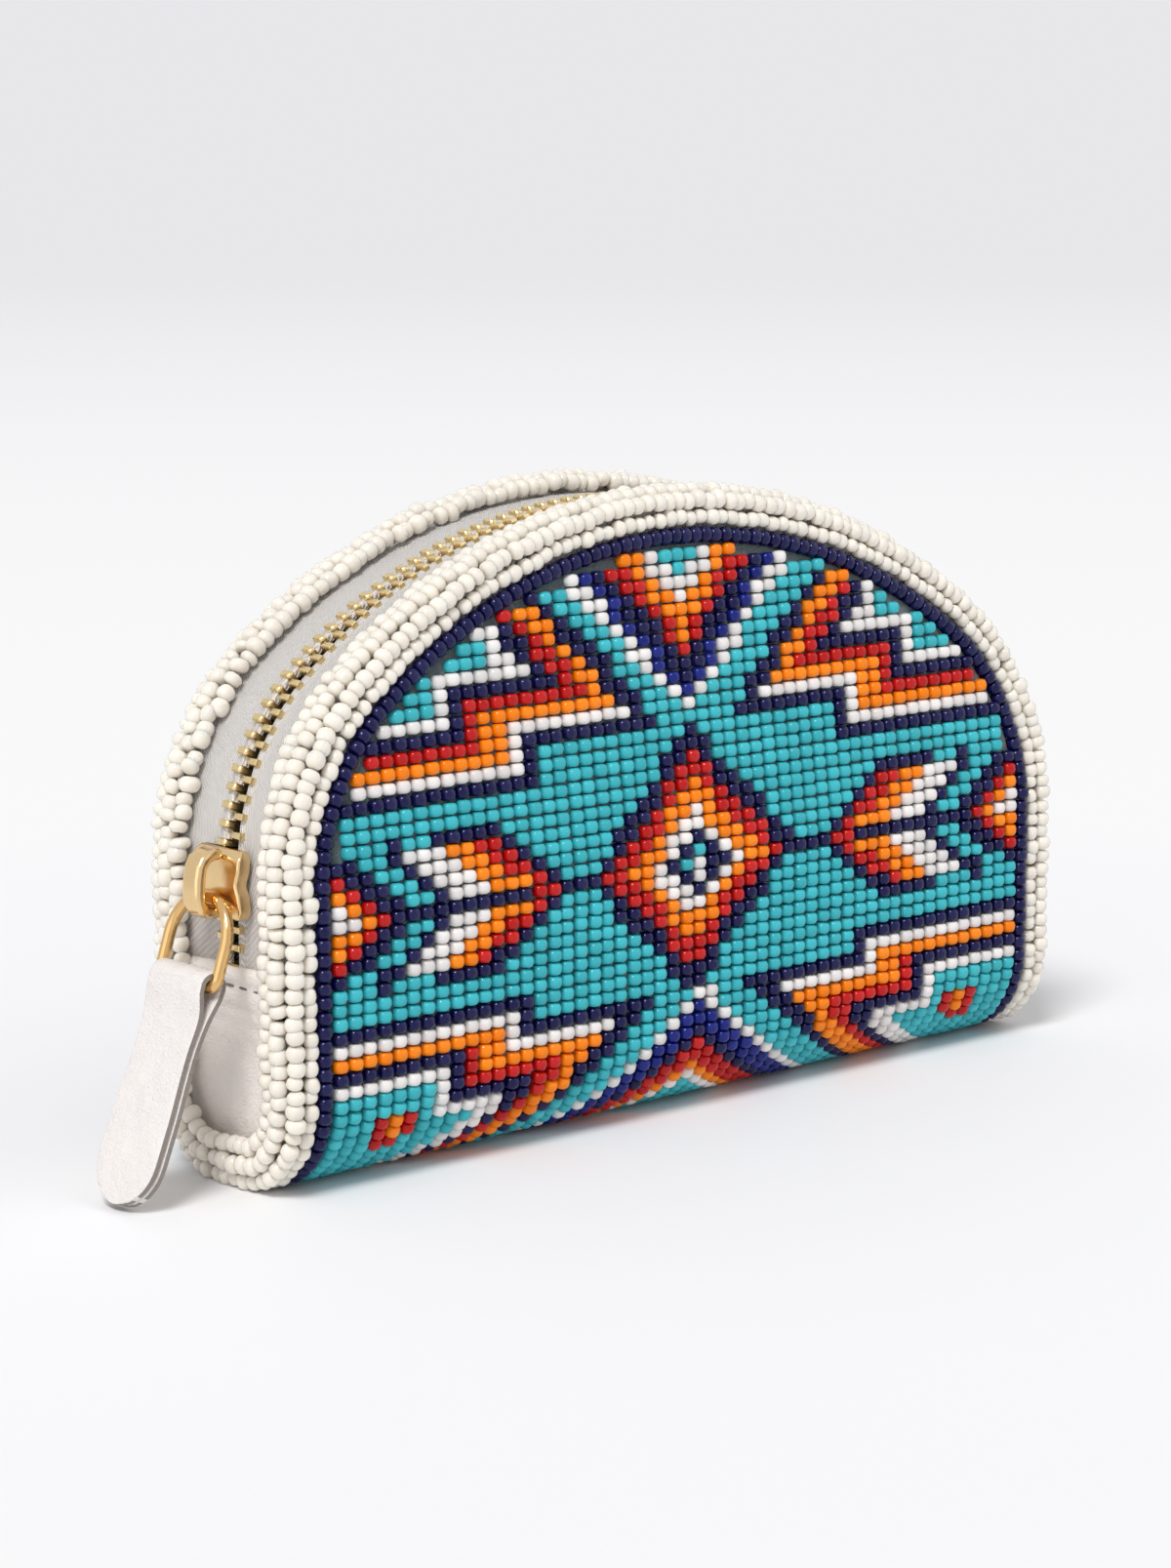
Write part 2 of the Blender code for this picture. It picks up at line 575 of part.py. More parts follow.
def colour_field(name, slot, polygons):
    # Polygons are (column, row) points of the bead chart; the field is cut to the panel and laid on its skin.
    bm = bmesh.new()
    for polygon in polygons:
        bm.faces.new([bm.verts.new(chart_place(column, row)) for column, row in polygon])
    bmesh.ops.remove_doubles(bm, verts=bm.verts, dist=1e-6)
    bmesh.ops.recalc_face_normals(bm, faces=bm.faces)
    border = bmesh.ops.inset_region(bm, faces=bm.faces, thickness=0.5 * CLEARANCE, use_even_offset=True,
                                    use_boundary=True)
    bmesh.ops.delete(bm, geom=border["faces"], context="FACES")
    outline = [rim(FIELD_EDGE, turn) for turn in arch_turns()]
    for first, second in zip(outline, outline[1:]):
        outward = (first[1] - second[1], second[0] - first[0], 0.0)
        cut_flat(bm, (*first, 0.0), outward, True)
    wide = HALF_WIDTH + FIELD_EDGE
    cut_flat(bm, (wide, 0.0, 0.0), (1.0, 0.0, 0.0), True)
    cut_flat(bm, (-wide, 0.0, 0.0), (-1.0, 0.0, 0.0), True)
    cut_flat(bm, (0.0, HAUNCH_Z - FIELD_FOOT, 0.0), (0.0, -1.0, 0.0), True)
    straight = HAUNCH_Z - FOLD_HEIGHT
    bends = [0.0] + [straight + FOLD_LENGTH * step / FOLD_STEPS for step in range(FOLD_STEPS)]
    for run in bends:
        cut_flat(bm, (0.0, HAUNCH_Z - run, 0.0), (0.0, 1.0, 0.0), False)
    for vert in bm.verts:
        vert.co = skin_place(vert.co.x, HAUNCH_Z - vert.co.y, CLEARANCE)
    bmesh.ops.recalc_face_normals(bm, faces=bm.faces)
    bm.normal_update()
    if bm.faces[:][0].normal.y > 0:
        bmesh.ops.reverse_faces(bm, faces=bm.faces)
    made = add_object(name, mesh_from(bm, name), slot)
    thicken(made, FIELD_THICKNESS, 1.0)
    return made


def mirrored(polygons):
    return [[(-column, row) for column, row in polygon] for polygon in polygons]


def diamond_ring(outer, inner):
    # Four slanted bars between two diamonds, given by their half width and half height.
    corners = [(1, 0), (0, 1), (-1, 0), (0, -1)]
    bars = []
    for first, second in zip(corners, corners[1:] + corners[:1]):
        bar = [(first, outer), (second, outer), (second, inner), (first, inner)]
        bars.append([(corner[0] * size[0], DIAMOND_ROW + corner[1] * size[1]) for corner, size in bar])
    return bars


def chevron(near, far, reach):
    # A band of the arrow: it is pointed towards the middle and slants outwards, to reach rows up and down.
    return [[(near, 0), (near + reach, reach), (far + reach, reach), (far, 0)],
            [(near, 0), (far, 0), (far + reach, -reach), (near + reach, -reach)]]


def vee(apex_row, slope, near, far, height):
    # A band of the V at the top (height below 0) or at the bottom (height above 0).
    sign = math.copysign(1, height)
    reach = abs(height) / slope
    start, end = apex_row + sign * near, apex_row + sign * far
    return [[(0, start), (reach, start + height), (reach, end + height), (0, end)],
            [(0, start), (0, end), (-reach, end + height), (-reach, start + height)]]


def stepped_band(near, far):
    # Each side is a path: down a diagonal to the run, along it to the riser, then out along the outer run.
    if near[0] == far[0]:
        near, far = near[1:], far[1:]
    if near[-1] == far[-1]:
        near, far = near[:-1], far[:-1]
    return [near + far[::-1]]


def corner_paths(levels, sign, slope, reach):
    # A level is its diagonal's row at the middle column, its run's row, its riser's column and its outer run's row.
    paths = []
    for diagonal, run, riser, outer_run in levels:
        foot = sign * (run - diagonal) / slope
        top = diagonal + sign * slope * reach
        paths.append([(reach, top), (foot, run), (riser, run), (riser, outer_run), (EDGE_COLUMN, outer_run)])
    return paths


EDGE_COLUMN = 28
TOP_SLOPE = 1.25
LOW_SLOPE = 1.0
DIAMOND_ROW = -0.5
DIAMONDS = [(8.5, 10.0), (7.5, 8.0), (6.5, 6.0), (3.5, 4.0), (2.5, 2.5), (1.5, 1.5)]
DIAMOND_SLOTS = ["navy_bead", "red_bead", "orange_bead", "white_bead", "navy_bead"]
UPPER_LEVELS = [(-6.9, -10.5, 11.5, -7.5), (-4.5, -11.5, 12.5, -8.5), (-4.5, -12.5, 13.5, -9.5),
                (-3.25, -13.5, 15.5, -10.5), (-1.4, -14.5, 16.5, -11.5)]
UPPER_SLOTS = ["navy_bead", "white_bead", "orange_bead", "red_bead"]
LOWER_LEVELS = [(6.5, 9.5, 12.5, 7.5), (4.5, 10.5, 13.5, 8.5), (4.5, 11.5, 14.5, 9.5),
                (3.5, 12.5, 15.5, 10.5), (1.5, 13.5, 16.5, 10.5)]
LOWER_SLOTS = ["navy_bead", "white_bead", "orange_bead", "red_bead"]


def bead_pattern():
    for index, slot in enumerate(DIAMOND_SLOTS):
        ring = diamond_ring(DIAMONDS[index], DIAMONDS[index + 1])
        colour_field("diamond_%d_%s" % (index + 1, slot.split("_")[0]), slot, ring)
    for word, turned in (("right", list), ("left", mirrored)):
        colour_field("arrow_%s_navy" % word, "navy_bead",
                     turned([[(9.5, 0), (14.5, 5.5), (19.5, 5.5), (19.5, 4.5), (15, 4.5), (10.5, 0)],
                             [(9.5, 0), (10.5, 0), (15, -4.5), (19.5, -4.5), (19.5, -5.5), (14.5, -5.5)]]))
        for shade, near, far in (("red", 10.5, 12.5), ("orange", 12.5, 14.5), ("white", 14.5, 17.5)):
            colour_field("arrow_%s_%s" % (word, shade), shade + "_bead", turned(chevron(near, far, 4.5)))
        for shade, near, far in (("red", 21.5, 23.5), ("orange", 23.5, 25.0)):
            colour_field("edge_%s_%s" % (word, shade), shade + "_bead", turned(chevron(near, far, 5.5)))
        for part, levels, slots, sign, slope in (("top", UPPER_LEVELS, UPPER_SLOTS, -1, TOP_SLOPE),
                                                 ("low", LOWER_LEVELS, LOWER_SLOTS, 1, LOW_SLOPE)):
            paths = corner_paths(levels, sign, slope, EDGE_COLUMN)
            for slot, near, far in zip(slots, paths, paths[1:]):
                colour_field("band_%s_%s_%s" % (part, word, slot.split("_")[0]), slot,
                             turned(stepped_band(near, far)))
    for shade, near, far in (("white", -0.9, 1.0), ("navy", 1.0, 4.0), ("red", 4.0, 5.0), ("orange", 5.0, 8.0)):
        colour_field("vee_top_" + shade, shade + "_bead", vee(-12, TOP_SLOPE, near, far, -20))
    for shade, near, far in (("white", -0.5, 0.5), ("navy", 0.5, 3.5), ("red", 3.5, 5.5)):
        colour_field("vee_low_" + shade, shade + "_bead", vee(10, LOW_SLOPE, near, far, 20))


column_grooves(folded_sheet("bead_ground", "turquoise_bead", 0.0, BEAD_LAYER, PANEL_EDGE))
folded_sheet("backing_panel", "felt", BACKING_DEPTH, BACKING_THICKNESS, BACKING_EDGE)
folded_sheet("lining", "lining_cloth", LINING_DEPTH, LINING_THICKNESS, LINING_EDGE)
bead_string("navy_string", "navy_bead", 0.0, STRING_DEPTH)
bead_string("pearl_string_1", "pearl_bead", FIRST_PEARL_EDGE, STRING_DEPTH)
bead_string("pearl_string_2", "pearl_bead", SECOND_PEARL_EDGE, STRING_DEPTH)
bead_string("pearl_string_3", "pearl_bead", THIRD_PEARL_EDGE, THIRD_PEARL_DEPTH)
bead_string("pearl_string_4", "pearl_bead", FOURTH_PEARL_EDGE, FOURTH_PEARL_DEPTH)
zip_tape("zip_tape_front", -1)
zip_tape("zip_tape_back", 1)
tooth_row("zip_teeth_front", -1, 0.0)
tooth_row("zip_teeth_back", 1, 0.5 * TOOTH_PITCH)
zip_stop("zip_stop_left", -1)
zip_stop("zip_stop_right", 1)
gusset("gusset_left", -1)
gusset("gusset_right", 1)
slider_body()
slider_bridge()
pull_ring()
pull_tab()
bead_pattern()
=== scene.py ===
# %% [markdown]
# # A beaded coin purse
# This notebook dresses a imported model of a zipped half-moon purse. Its skin is thousands of glass seed beads, sewn in
# upright columns on one strip of cloth that is folded under the purse. The model gives the sizes and the joints, and
# each cell here makes one thing that the real maker would: beads, strings of pearls, tape, teeth, metal and leather.
# %% Load the model
import json
import math

import bmesh
import bpy
import numpy as np
from mathutils import Matrix, Vector, noise


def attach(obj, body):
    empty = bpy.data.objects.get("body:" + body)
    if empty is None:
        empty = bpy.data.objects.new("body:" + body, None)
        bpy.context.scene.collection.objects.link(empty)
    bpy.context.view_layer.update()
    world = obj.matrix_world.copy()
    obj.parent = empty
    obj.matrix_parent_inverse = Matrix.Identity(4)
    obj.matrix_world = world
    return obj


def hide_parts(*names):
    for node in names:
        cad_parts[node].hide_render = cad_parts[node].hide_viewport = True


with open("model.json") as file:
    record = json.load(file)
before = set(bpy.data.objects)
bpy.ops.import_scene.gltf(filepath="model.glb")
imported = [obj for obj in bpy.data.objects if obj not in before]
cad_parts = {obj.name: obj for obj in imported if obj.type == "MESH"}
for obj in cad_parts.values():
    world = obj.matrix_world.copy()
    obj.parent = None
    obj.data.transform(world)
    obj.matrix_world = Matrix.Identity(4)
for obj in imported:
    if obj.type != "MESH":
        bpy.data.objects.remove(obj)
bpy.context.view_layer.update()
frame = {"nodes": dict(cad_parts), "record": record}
joints = {joint["name"]: Vector(joint["pos_m"]) for joint in frame["record"]["behaviour"]["joints"]}
chance = np.random.default_rng(11)
MM = 0.001

# %% [markdown]
# The sizes below are the purse's own, in millimetres. The outline of the navy string is a wide crown arc that runs
# into two tighter haunches and then straight down. The section is two upright faces and a round fold under them.
# "edge" is how far a line lies outside that outline, and "depth" how far it lies under the crowns of the beads.
# %% Sizes of the purse
HAUNCH_X, HAUNCH_Z, HAUNCH_RADIUS, ARCH_RISE = 30.1, 32.9, 28.0, 38.0
LEAN_SLOPE = 0.12
HALF_DEPTH, FLAT_HALF, FOLD_HEIGHT = 13.4, 3.0, 11.5
COLUMN_PITCH, ROW_PITCH, ROW_ZERO_Z = 2.15, 1.62, 31.4
LAST_COLUMN, MIDDLE_ROW = 26, 25
STRING_DEPTH = 1.05
TOOTH_PITCH = 2.1

FOLD_REACH = HALF_DEPTH - FLAT_HALF
FOLD_LENGTH = math.pi / 2 * math.sqrt(0.5 * (FOLD_REACH ** 2 + FOLD_HEIGHT ** 2))
STRAIGHT = HAUNCH_Z - FOLD_HEIGHT
HALF_WIDTH = HAUNCH_X + HAUNCH_RADIUS
CROWN_DROP = (HAUNCH_X ** 2 - (ARCH_RISE - HAUNCH_RADIUS) ** 2) / (2 * (ARCH_RISE - HAUNCH_RADIUS))
CROWN_RADIUS = CROWN_DROP + ARCH_RISE
CROWN_TURN = math.atan2(HAUNCH_X, CROWN_DROP)
print("outline: %.1f mm wide, apex at %.1f mm" % (2 * HALF_WIDTH, HAUNCH_Z + ARCH_RISE))

# %% [markdown]
# Every curve of the purse comes from the next few functions. `rim` walks over the arch by the angle of its outward
# normal. `skin` walks down a face, round the fold and along the bottom, and also gives the way out of the surface
# and the way down it, so that a bead knows how to lie.
# %% The curves that everything follows


def lean(z):
    return max(0.0, z - HAUNCH_Z) * LEAN_SLOPE


def rim(edge, turn, drop=0.0):
    side = abs(turn)
    if side <= CROWN_TURN:
        centre_x, centre_z, radius = 0.0, HAUNCH_Z - CROWN_DROP, CROWN_RADIUS + edge
    else:
        centre_x, centre_z, radius = HAUNCH_X, HAUNCH_Z, HAUNCH_RADIUS + edge
    return math.copysign(centre_x + radius * math.sin(side), turn), centre_z + radius * math.cos(side) - drop


def edge_of(x, z):
    """How far a point of the face lies outside the outline; negative inside it."""
    x = abs(x)
    if z <= HAUNCH_Z:
        return x - HALF_WIDTH
    if math.atan2(x, z - HAUNCH_Z + CROWN_DROP) <= CROWN_TURN:
        return math.hypot(x, z - HAUNCH_Z + CROWN_DROP) - CROWN_RADIUS
    return math.hypot(x - HAUNCH_X, z - HAUNCH_Z) - HAUNCH_RADIUS


def fold(depth, turn):
    out = FLAT_HALF + (FOLD_REACH - depth) * math.cos(turn)
    return out, FOLD_HEIGHT - (FOLD_HEIGHT - depth) * math.sin(turn)


def skin(x, run, depth, side):
    """Place, outward and downward directions at a run below the haunch line; side is -1 in front, 1 behind."""
    z = HAUNCH_Z - run
    if run <= STRAIGHT:
        tilt = math.atan(LEAN_SLOPE) if run < 0 else 0.0
        place = (x, side * (HALF_DEPTH - depth) + lean(z), z)
        out = (0, side * math.cos(tilt), -side * math.sin(tilt))
        down = (0, -math.sin(tilt), -math.cos(tilt))
    elif run <= STRAIGHT + FOLD_LENGTH:
        turn = (run - STRAIGHT) / FOLD_LENGTH * math.pi / 2
        far, low = fold(depth, turn)
        place = (x, side * far, low)
        tall, wide = FOLD_HEIGHT - depth, FOLD_REACH - depth
        out = (0, side * tall * math.cos(turn), -wide * math.sin(turn))
        down = (0, -side * wide * math.sin(turn), -tall * math.cos(turn))
    else:
        place = (x, side * (FLAT_HALF - (run - STRAIGHT - FOLD_LENGTH)), depth)
        out, down = (0, 0, -1), (0, -side, 0)
    return Vector(place), Vector(out).normalized(), Vector(down).normalized()


def closed_loop(edge, depth, steps=40):
    """A string's whole way round: front arch, one end's U, back arch, the other end's U."""
    over = [rim(edge, math.pi / 2 * (step / steps - 1)) for step in range(2 * steps + 1)]
    front = [(x, depth - HALF_DEPTH + lean(z), z) for x, z in over]
    back = [(x, HALF_DEPTH - depth + lean(z), z) for x, z in reversed(over)]
    curl = [fold(depth, math.pi / 2 * step / 12) for step in range(13)]
    wide = HALF_WIDTH + edge
    right = [(wide, -out, z) for out, z in curl] + [(wide, out, z) for out, z in reversed(curl)]
    left = [(-wide, -y, z) for _, y, z in right]
    return np.array(front + right + back + left)


print("the fold's skin is %.1f mm long" % FOLD_LENGTH)

# %% [markdown]
# Shader maths reads best as plain sums, so a small class wraps a socket and turns + - * into Math nodes. A second
# one holds a material and makes any other node from its type, its settings and its inputs.
# %% Helpers for materials


def join(slot, value):
    if isinstance(value, Wire):
        slot.id_data.links.new(value.socket, slot)
    else:
        slot.default_value = value


class Wire:
    """A shader socket that can stand in a sum."""

    def __init__(self, socket):
        self.socket = socket

    def maths(self, operation, *values):
        made = self.socket.id_data.nodes.new("ShaderNodeMath")
        made.operation = operation
        for slot, value in zip(made.inputs, values):
            join(slot, value)
        return Wire(made.outputs[0])

    def __add__(self, other):
        return self.maths("ADD", self, other)

    def __sub__(self, other):
        return self.maths("SUBTRACT", self, other)

    def __rsub__(self, other):
        return self.maths("SUBTRACT", other, self)

    def __mul__(self, other):
        return self.maths("MULTIPLY", self, other)

    __radd__, __rmul__ = __add__, __mul__

    def wave(self):
        return self.maths("SINE", self)


def linear(red, green, blue):
    """A colour as a screen shows it, 0 to 255, turned into the light that it stands for."""
    def one(value):
        value = value / 255
        return value / 12.92 if value <= 0.04045 else ((value + 0.055) / 1.055) ** 2.4
    return (one(red), one(green), one(blue), 1.0)


def shaded(colour, share):
    """The same colour with only a share of its light."""
    return tuple(channel * share for channel in colour[:3]) + (1.0,)


class Finish:
    """A material with its Principled shader."""

    def __init__(self, name, **constants):
        self.material = bpy.data.materials.new(name)
        self.material.use_nodes = True
        self.tree = self.material.node_tree
        self.shader = self.tree.nodes["Principled BSDF"]
        for slot, value in constants.items():
            self.feed(slot.replace("_", " "), value)

    def feed(self, slot, value):
        join(self.shader.inputs[slot], value)

    def node(self, kind, settings=None, inputs=None, out=0):
        made = self.tree.nodes.new("ShaderNode" + kind)
        for key, value in (settings or {}).items():
            setattr(made, key, value)
        for key, value in (inputs or {}).items():
            join(made.inputs[key], value)
        return Wire(made.outputs[out])

    def place(self):
        """The point on the surface, in metres, and its three numbers."""
        spot = self.node("TexCoord", out=3)
        return spot, [self.node("SeparateXYZ", inputs={0: spot}, out=axis) for axis in range(3)]

    def cloud(self, size, detail):
        """Soft noise whose lumps are about this many millimetres wide."""
        spot, _ = self.place()
        return self.node("TexNoise", inputs={"Vector": spot, "Scale": 1 / (size * MM), "Detail": detail})

    def blend(self, amount, first, second):
        return self.node("Mix", {"data_type": "RGBA"}, {0: amount, 6: first, 7: second}, 2)

    def emboss(self, height, distance, strength=1.0):
        bump = self.node("Bump", inputs={"Height": height, "Distance": distance * MM, "Strength": strength})
        self.feed("Normal", bump)


print("helpers for materials are ready")

# %% [markdown]
# Opaque seed beads are glass with a hard gloss, and no two are quite the same shade. Geometry's Random Per Island gives
# one number for each separate bead, so one mesh of many beads still shows that spread. Each colour goes from a slightly
# deeper to a slightly lighter glass. The pearls also let a little light through them.
# %% Finishes of the beads


def bead_finish(name, colour, spread=0.16, roughness=0.13, coat=0.28):
    made = Finish(name, Roughness=roughness, Specular_IOR_Level=0.12, Coat_Weight=coat, Coat_Roughness=0.05)
    chance_of_bead = made.node("NewGeometry", out=8)
    deep = shaded(colour, 1 - spread)
    light = tuple(min(1.0, channel * (1 + 0.6 * spread) + 0.01) for channel in colour[:3]) + (1.0,)
    shade = made.blend(chance_of_bead, deep, light)
    cloudy = made.cloud(0.9, 3.0)
    made.feed("Base Color", made.blend(cloudy * 0.35, shade, deep))
    made.feed("Roughness", roughness + cloudy * 0.12)
    made.emboss(made.cloud(0.7, 2.0), 0.035)
    return made.material


BEAD_COLOURS = {
    "turquoise": linear(58, 182, 192),
    "navy": linear(9, 8, 70),
    "cobalt": linear(10, 28, 120),
    "orange": linear(255, 134, 0),
    "red": linear(192, 14, 12),
    "white": linear(233, 229, 226),
}
bead_material = {shade: bead_finish("bead_" + shade, colour) for shade, colour in BEAD_COLOURS.items()}
pearl_material = bead_finish("bead_pearl", linear(236, 229, 217), 0.06, 0.14, 0.8)
pearl_shader = pearl_material.node_tree.nodes["Principled BSDF"]
pearl_shader.inputs["Subsurface Weight"].default_value = 0.35
pearl_shader.inputs["Subsurface Radius"].default_value = (1.0, 0.8, 0.6)
pearl_shader.inputs["Subsurface Scale"].default_value = 1.2 * MM
print("bead finishes:", ", ".join(bead_material), "and pearl")

# %% [markdown]
# Leather, tape, felt and lining are all cloth-like but read differently up close: the leather has a pebbled grain and
# fine creases, the tape a slanting twill of threads a quarter of a millimetre apart, and felt a matt tangle.
# %% Finishes of leather and cloth


def leather_finish(name, colour, grain, depth):
    made = Finish(name, Roughness=0.5, Specular_IOR_Level=0.4, Sheen_Weight=0.08)
    spot, _ = made.place()
    pebbles = made.node("TexVoronoi", {"feature": "DISTANCE_TO_EDGE"}, {"Vector": spot, "Scale": 1 / (grain * MM)})
    creases = made.cloud(3.2, 5.0)
    made.feed("Base Color", made.blend(made.cloud(6.0, 4.0) * 0.7, colour, shaded(colour, 0.86)))
    made.feed("Roughness", 0.42 + creases * 0.25)
    made.emboss(pebbles * 0.5 + creases * 1.1 + made.cloud(0.3, 2.0) * 0.25, depth, 0.9)
    return made.material


def tape_finish(name, colour, thread=0.45):
    made = Finish(name, Roughness=0.85, Sheen_Weight=0.15)
    _, (x, y, z) = made.place()
    slant = ((x - z) * 0.7 + y * 1.6) * (2 * math.pi / (thread * MM))
    cross = ((x + z) * 0.9 - y * 0.8) * (2 * math.pi / (0.7 * thread * MM))
    weave = slant.wave() * 0.5 + cross.wave() * 0.2
    made.feed("Base Color", made.blend(weave * 0.5 + made.cloud(1.5, 3.0) * 0.3, colour, shaded(colour, 0.84)))
    made.emboss(weave + made.cloud(0.25, 2.0) * 0.6, 0.22)
    return made.material


def felt_finish(name, colour):
    made = Finish(name, Roughness=0.95, Sheen_Weight=0.2)
    fuzz = made.cloud(0.35, 6.0)
    made.feed("Base Color", made.blend(fuzz, shaded(colour, 0.6), colour))
    made.emboss(fuzz, 0.2)
    return made.material


LEATHER = linear(246, 240, 233)
gusset_leather = leather_finish("gusset_leather", LEATHER, 0.55, 0.3)
tab_leather = leather_finish("tab_leather", linear(236, 230, 226), 0.45, 0.4)
raw_leather = felt_finish("raw_leather_edge", linear(156, 147, 138))
tape_cloth = tape_finish("tape_cloth", linear(252, 247, 242))
lining_cloth = tape_finish("lining_cloth", linear(232, 228, 222), 0.5)
felt = felt_finish("felt", linear(118, 134, 136))
thread_cotton = tape_finish("thread_cotton", linear(168, 158, 147), 0.2)
print("leather, tape, lining, felt and thread are ready")

# %% [markdown]
# The slider, its bridge and the ring are plated a satin gold that wears in soft patches. The teeth are stamped brass,
# a paler and duller gold. The wear goes into colour and roughness, and a very shallow bump breaks up the reflections.
# %% Finishes of the metal


def gold_finish(name, colour, roughness):
    made = Finish(name, Metallic=1.0, Roughness=roughness)
    rubbed = made.cloud(1.6, 4.0)
    made.feed("Base Color", made.blend(rubbed * 0.6, colour, shaded(colour, 0.82)))
    made.feed("Roughness", roughness - 0.06 + rubbed * 0.14)
    made.emboss(made.cloud(0.5, 3.0), 0.006)
    return made.material


plated_gold = gold_finish("plated_gold", linear(240, 207, 154), 0.2)
ring_gold = gold_finish("ring_gold", linear(232, 190, 128), 0.12)
tooth_brass = gold_finish("tooth_brass", linear(238, 214, 160), 0.26)
print("gold and brass are ready")

# %% [markdown]
# A seed bead is a short slice of glass tube, rounded in the fire. Its form is a ring of points turned about the thread:
# flat lips at both ends and a full belly. It is made once and then stamped, by array sums, wherever the maker's needle
# would put it, with a little play in size, place and tilt.
# %% Make one bead and a way to stamp it
BEAD_SIDES = 10
BEAD_PROFILE = [(-1.0, 0.5), (-0.8, 0.85), (-0.3, 1.0), (0.3, 1.0), (0.8, 0.85), (1.0, 0.5)]
PEARL_PROFILE = [(-1.0, 0.42), (-0.88, 0.7), (-0.6, 0.9), (-0.2, 1.0), (0.2, 1.0), (0.6, 0.9), (0.88, 0.7), (1.0, 0.42)]


def turned_form(profile, sides):
    angles = 2 * math.pi * np.arange(sides) / sides
    points = [(radius * math.cos(a), radius * math.sin(a), along) for along, radius in profile for a in angles]
    faces = []
    for ring in range(len(profile) - 1):
        for k in range(sides):
            n = (k + 1) % sides
            low, high = ring * sides, (ring + 1) * sides
            faces.append((low + k, low + n, high + n, high + k))
    faces.append(tuple(range(sides - 1, -1, -1)))
    faces.append(tuple((len(profile) - 1) * sides + k for k in range(sides)))
    return np.array(points), faces


def show(name, points, faces, material, slot, body="purse"):
    """Makes a piece from points in millimetres, and says which body carries it and which finish it has."""
    data = bpy.data.meshes.new(name)
    data.from_pydata((np.asarray(points) * MM).tolist(), [], faces)
    data.validate()
    data.shade_smooth()
    data.materials.append(material)
    made = bpy.data.objects.new(name, data)
    bpy.context.scene.collection.objects.link(made)
    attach(made, body)
    return made


def stamp(form, places):
    """Copies a form to many places: (centre, three axes scaled to size) for each one."""
    points, faces = form
    centres = np.array([place[0] for place in places])
    axes = np.array([place[1] for place in places])
    every = centres[:, None, :] + np.einsum("pk,nkj->npj", points, axes)
    shifted = [tuple(index + copy * len(points) for index in face) for copy in range(len(places)) for face in faces]
    return every.reshape(-1, 3), shifted


BEAD = turned_form(BEAD_PROFILE, BEAD_SIDES)
PEARL = turned_form(PEARL_PROFILE, BEAD_SIDES)
TILT_PLAY, PLACE_PLAY, WIDTH_PLAY, HEIGHT_PLAY = 0.035, 0.035, 0.018, 0.03


def bead_place(centre, along, out, width, height, play=1.0):
    """One bead: along is the thread's way, out the way off the cloth."""
    along = (Vector(along) + Vector(chance.normal(0, TILT_PLAY * play, 3))).normalized()
    across = along.cross(Vector(out)).normalized()
    off = across.cross(along)
    wide = 0.5 * width * (1 + chance.normal(0, WIDTH_PLAY * play))
    tall = 0.5 * height * (1 + chance.normal(0, HEIGHT_PLAY * play))
    centre = Vector(centre) + Vector(chance.normal(0, PLACE_PLAY * play, 3))
    return tuple(centre), [tuple(across * wide), tuple(off * wide), tuple(along * tall)]


print("one bead has", sum(len(face) - 2 for face in BEAD[1]), "triangles")

# %% [markdown]
# The pattern is a set of rules on the grid of columns and rows, as a beader would chart it: a stepped diamond in the
# middle, an arrow on each side, half diamonds at the ends, a V at the top and one at the bottom, and stepped bands in
# the corners. Each rule gives a colour or passes the bead on to the next rule. The ground is turquoise.
# %% Chart the pattern


def pick(bands, value):
    for limit, shade in bands:
        if value < limit:
            return shade
    return None


def diamond(column, row):
    c = abs(column)
    span = c + abs(row)
    if span < 2:
        if c == 1:
            return "turquoise" if column < 0 else "navy"
        return "turquoise" if row < 0 else "white"
    if span == 2:
        return "navy"
    if span == 3 or (span == 4 and (column in (-1, -2) or (column, row) in ((0, -4), (-3, 1)))):
        return "white"
    level = abs(row + 0.5) + 1.25 * c - (1.25 if row == 0 else 1.0 if column < 0 and row > 0 else 0.0)
    return pick([(6, "orange"), (8, "red"), (10, "navy")], level - (0.01 if column < 0 else 0.0))


ARROW_BANDS = [("navy", 10, 10), ("red", 11, 12), ("orange", 13, 14), ("white", 15, 17), ("navy", 18, 18)]


def arrow(c, row):
    far, nose = abs(row), c - abs(row)
    if row == 0 and (c in (8, 9, 10) or 13 <= c <= 22):
        return "navy"
    if (c, far) == (13, 1):
        return "orange"
    if far == 5 and 15 <= c <= 19 or (c, row) == (15, 4):
        return "navy"
    if far <= 4:
        for shade, first, last in ARROW_BANDS:
            if first <= nose <= last:
                return shade
    return "navy" if (c, row) in ((22, -5), (22, -4), (22, 4), (23, 4), (23, 5)) else None


def end_diamond(c, row):
    level = LAST_COLUMN - c + abs(row)
    if level > 5 or (level == 5 and row > 3):
        return None
    return "orange" if (c, row) == (LAST_COLUMN, 1) else ["white", "white", "orange", "red", "navy", "navy"][level]


def top_vee(c, row):
    wide = c > 2
    bands = [(-0.55, None), (1.3 if wide else 0.74, "white"), (2.5 if wide else 1.8, "cobalt"), (3.85, "navy"),
             (5.7 if wide else 5.0, "red"), (7.7, "orange"), (9.5, "white"), (99, "turquoise")]
    return pick(bands, -12 - row - 1.12 * c)


def low_vee(column, row):
    level = row - 10 - abs(column)
    if level < 0:
        return "white" if (column, row) == (1, 10) else None
    return (["white", "cobalt", "cobalt", "navy", "red", "red", "orange", "white"] + ["turquoise"] * 20)[level]


BAND_COLOURS = ["turquoise", "navy", "white", "orange", "red", "navy", "white", "turquoise"]


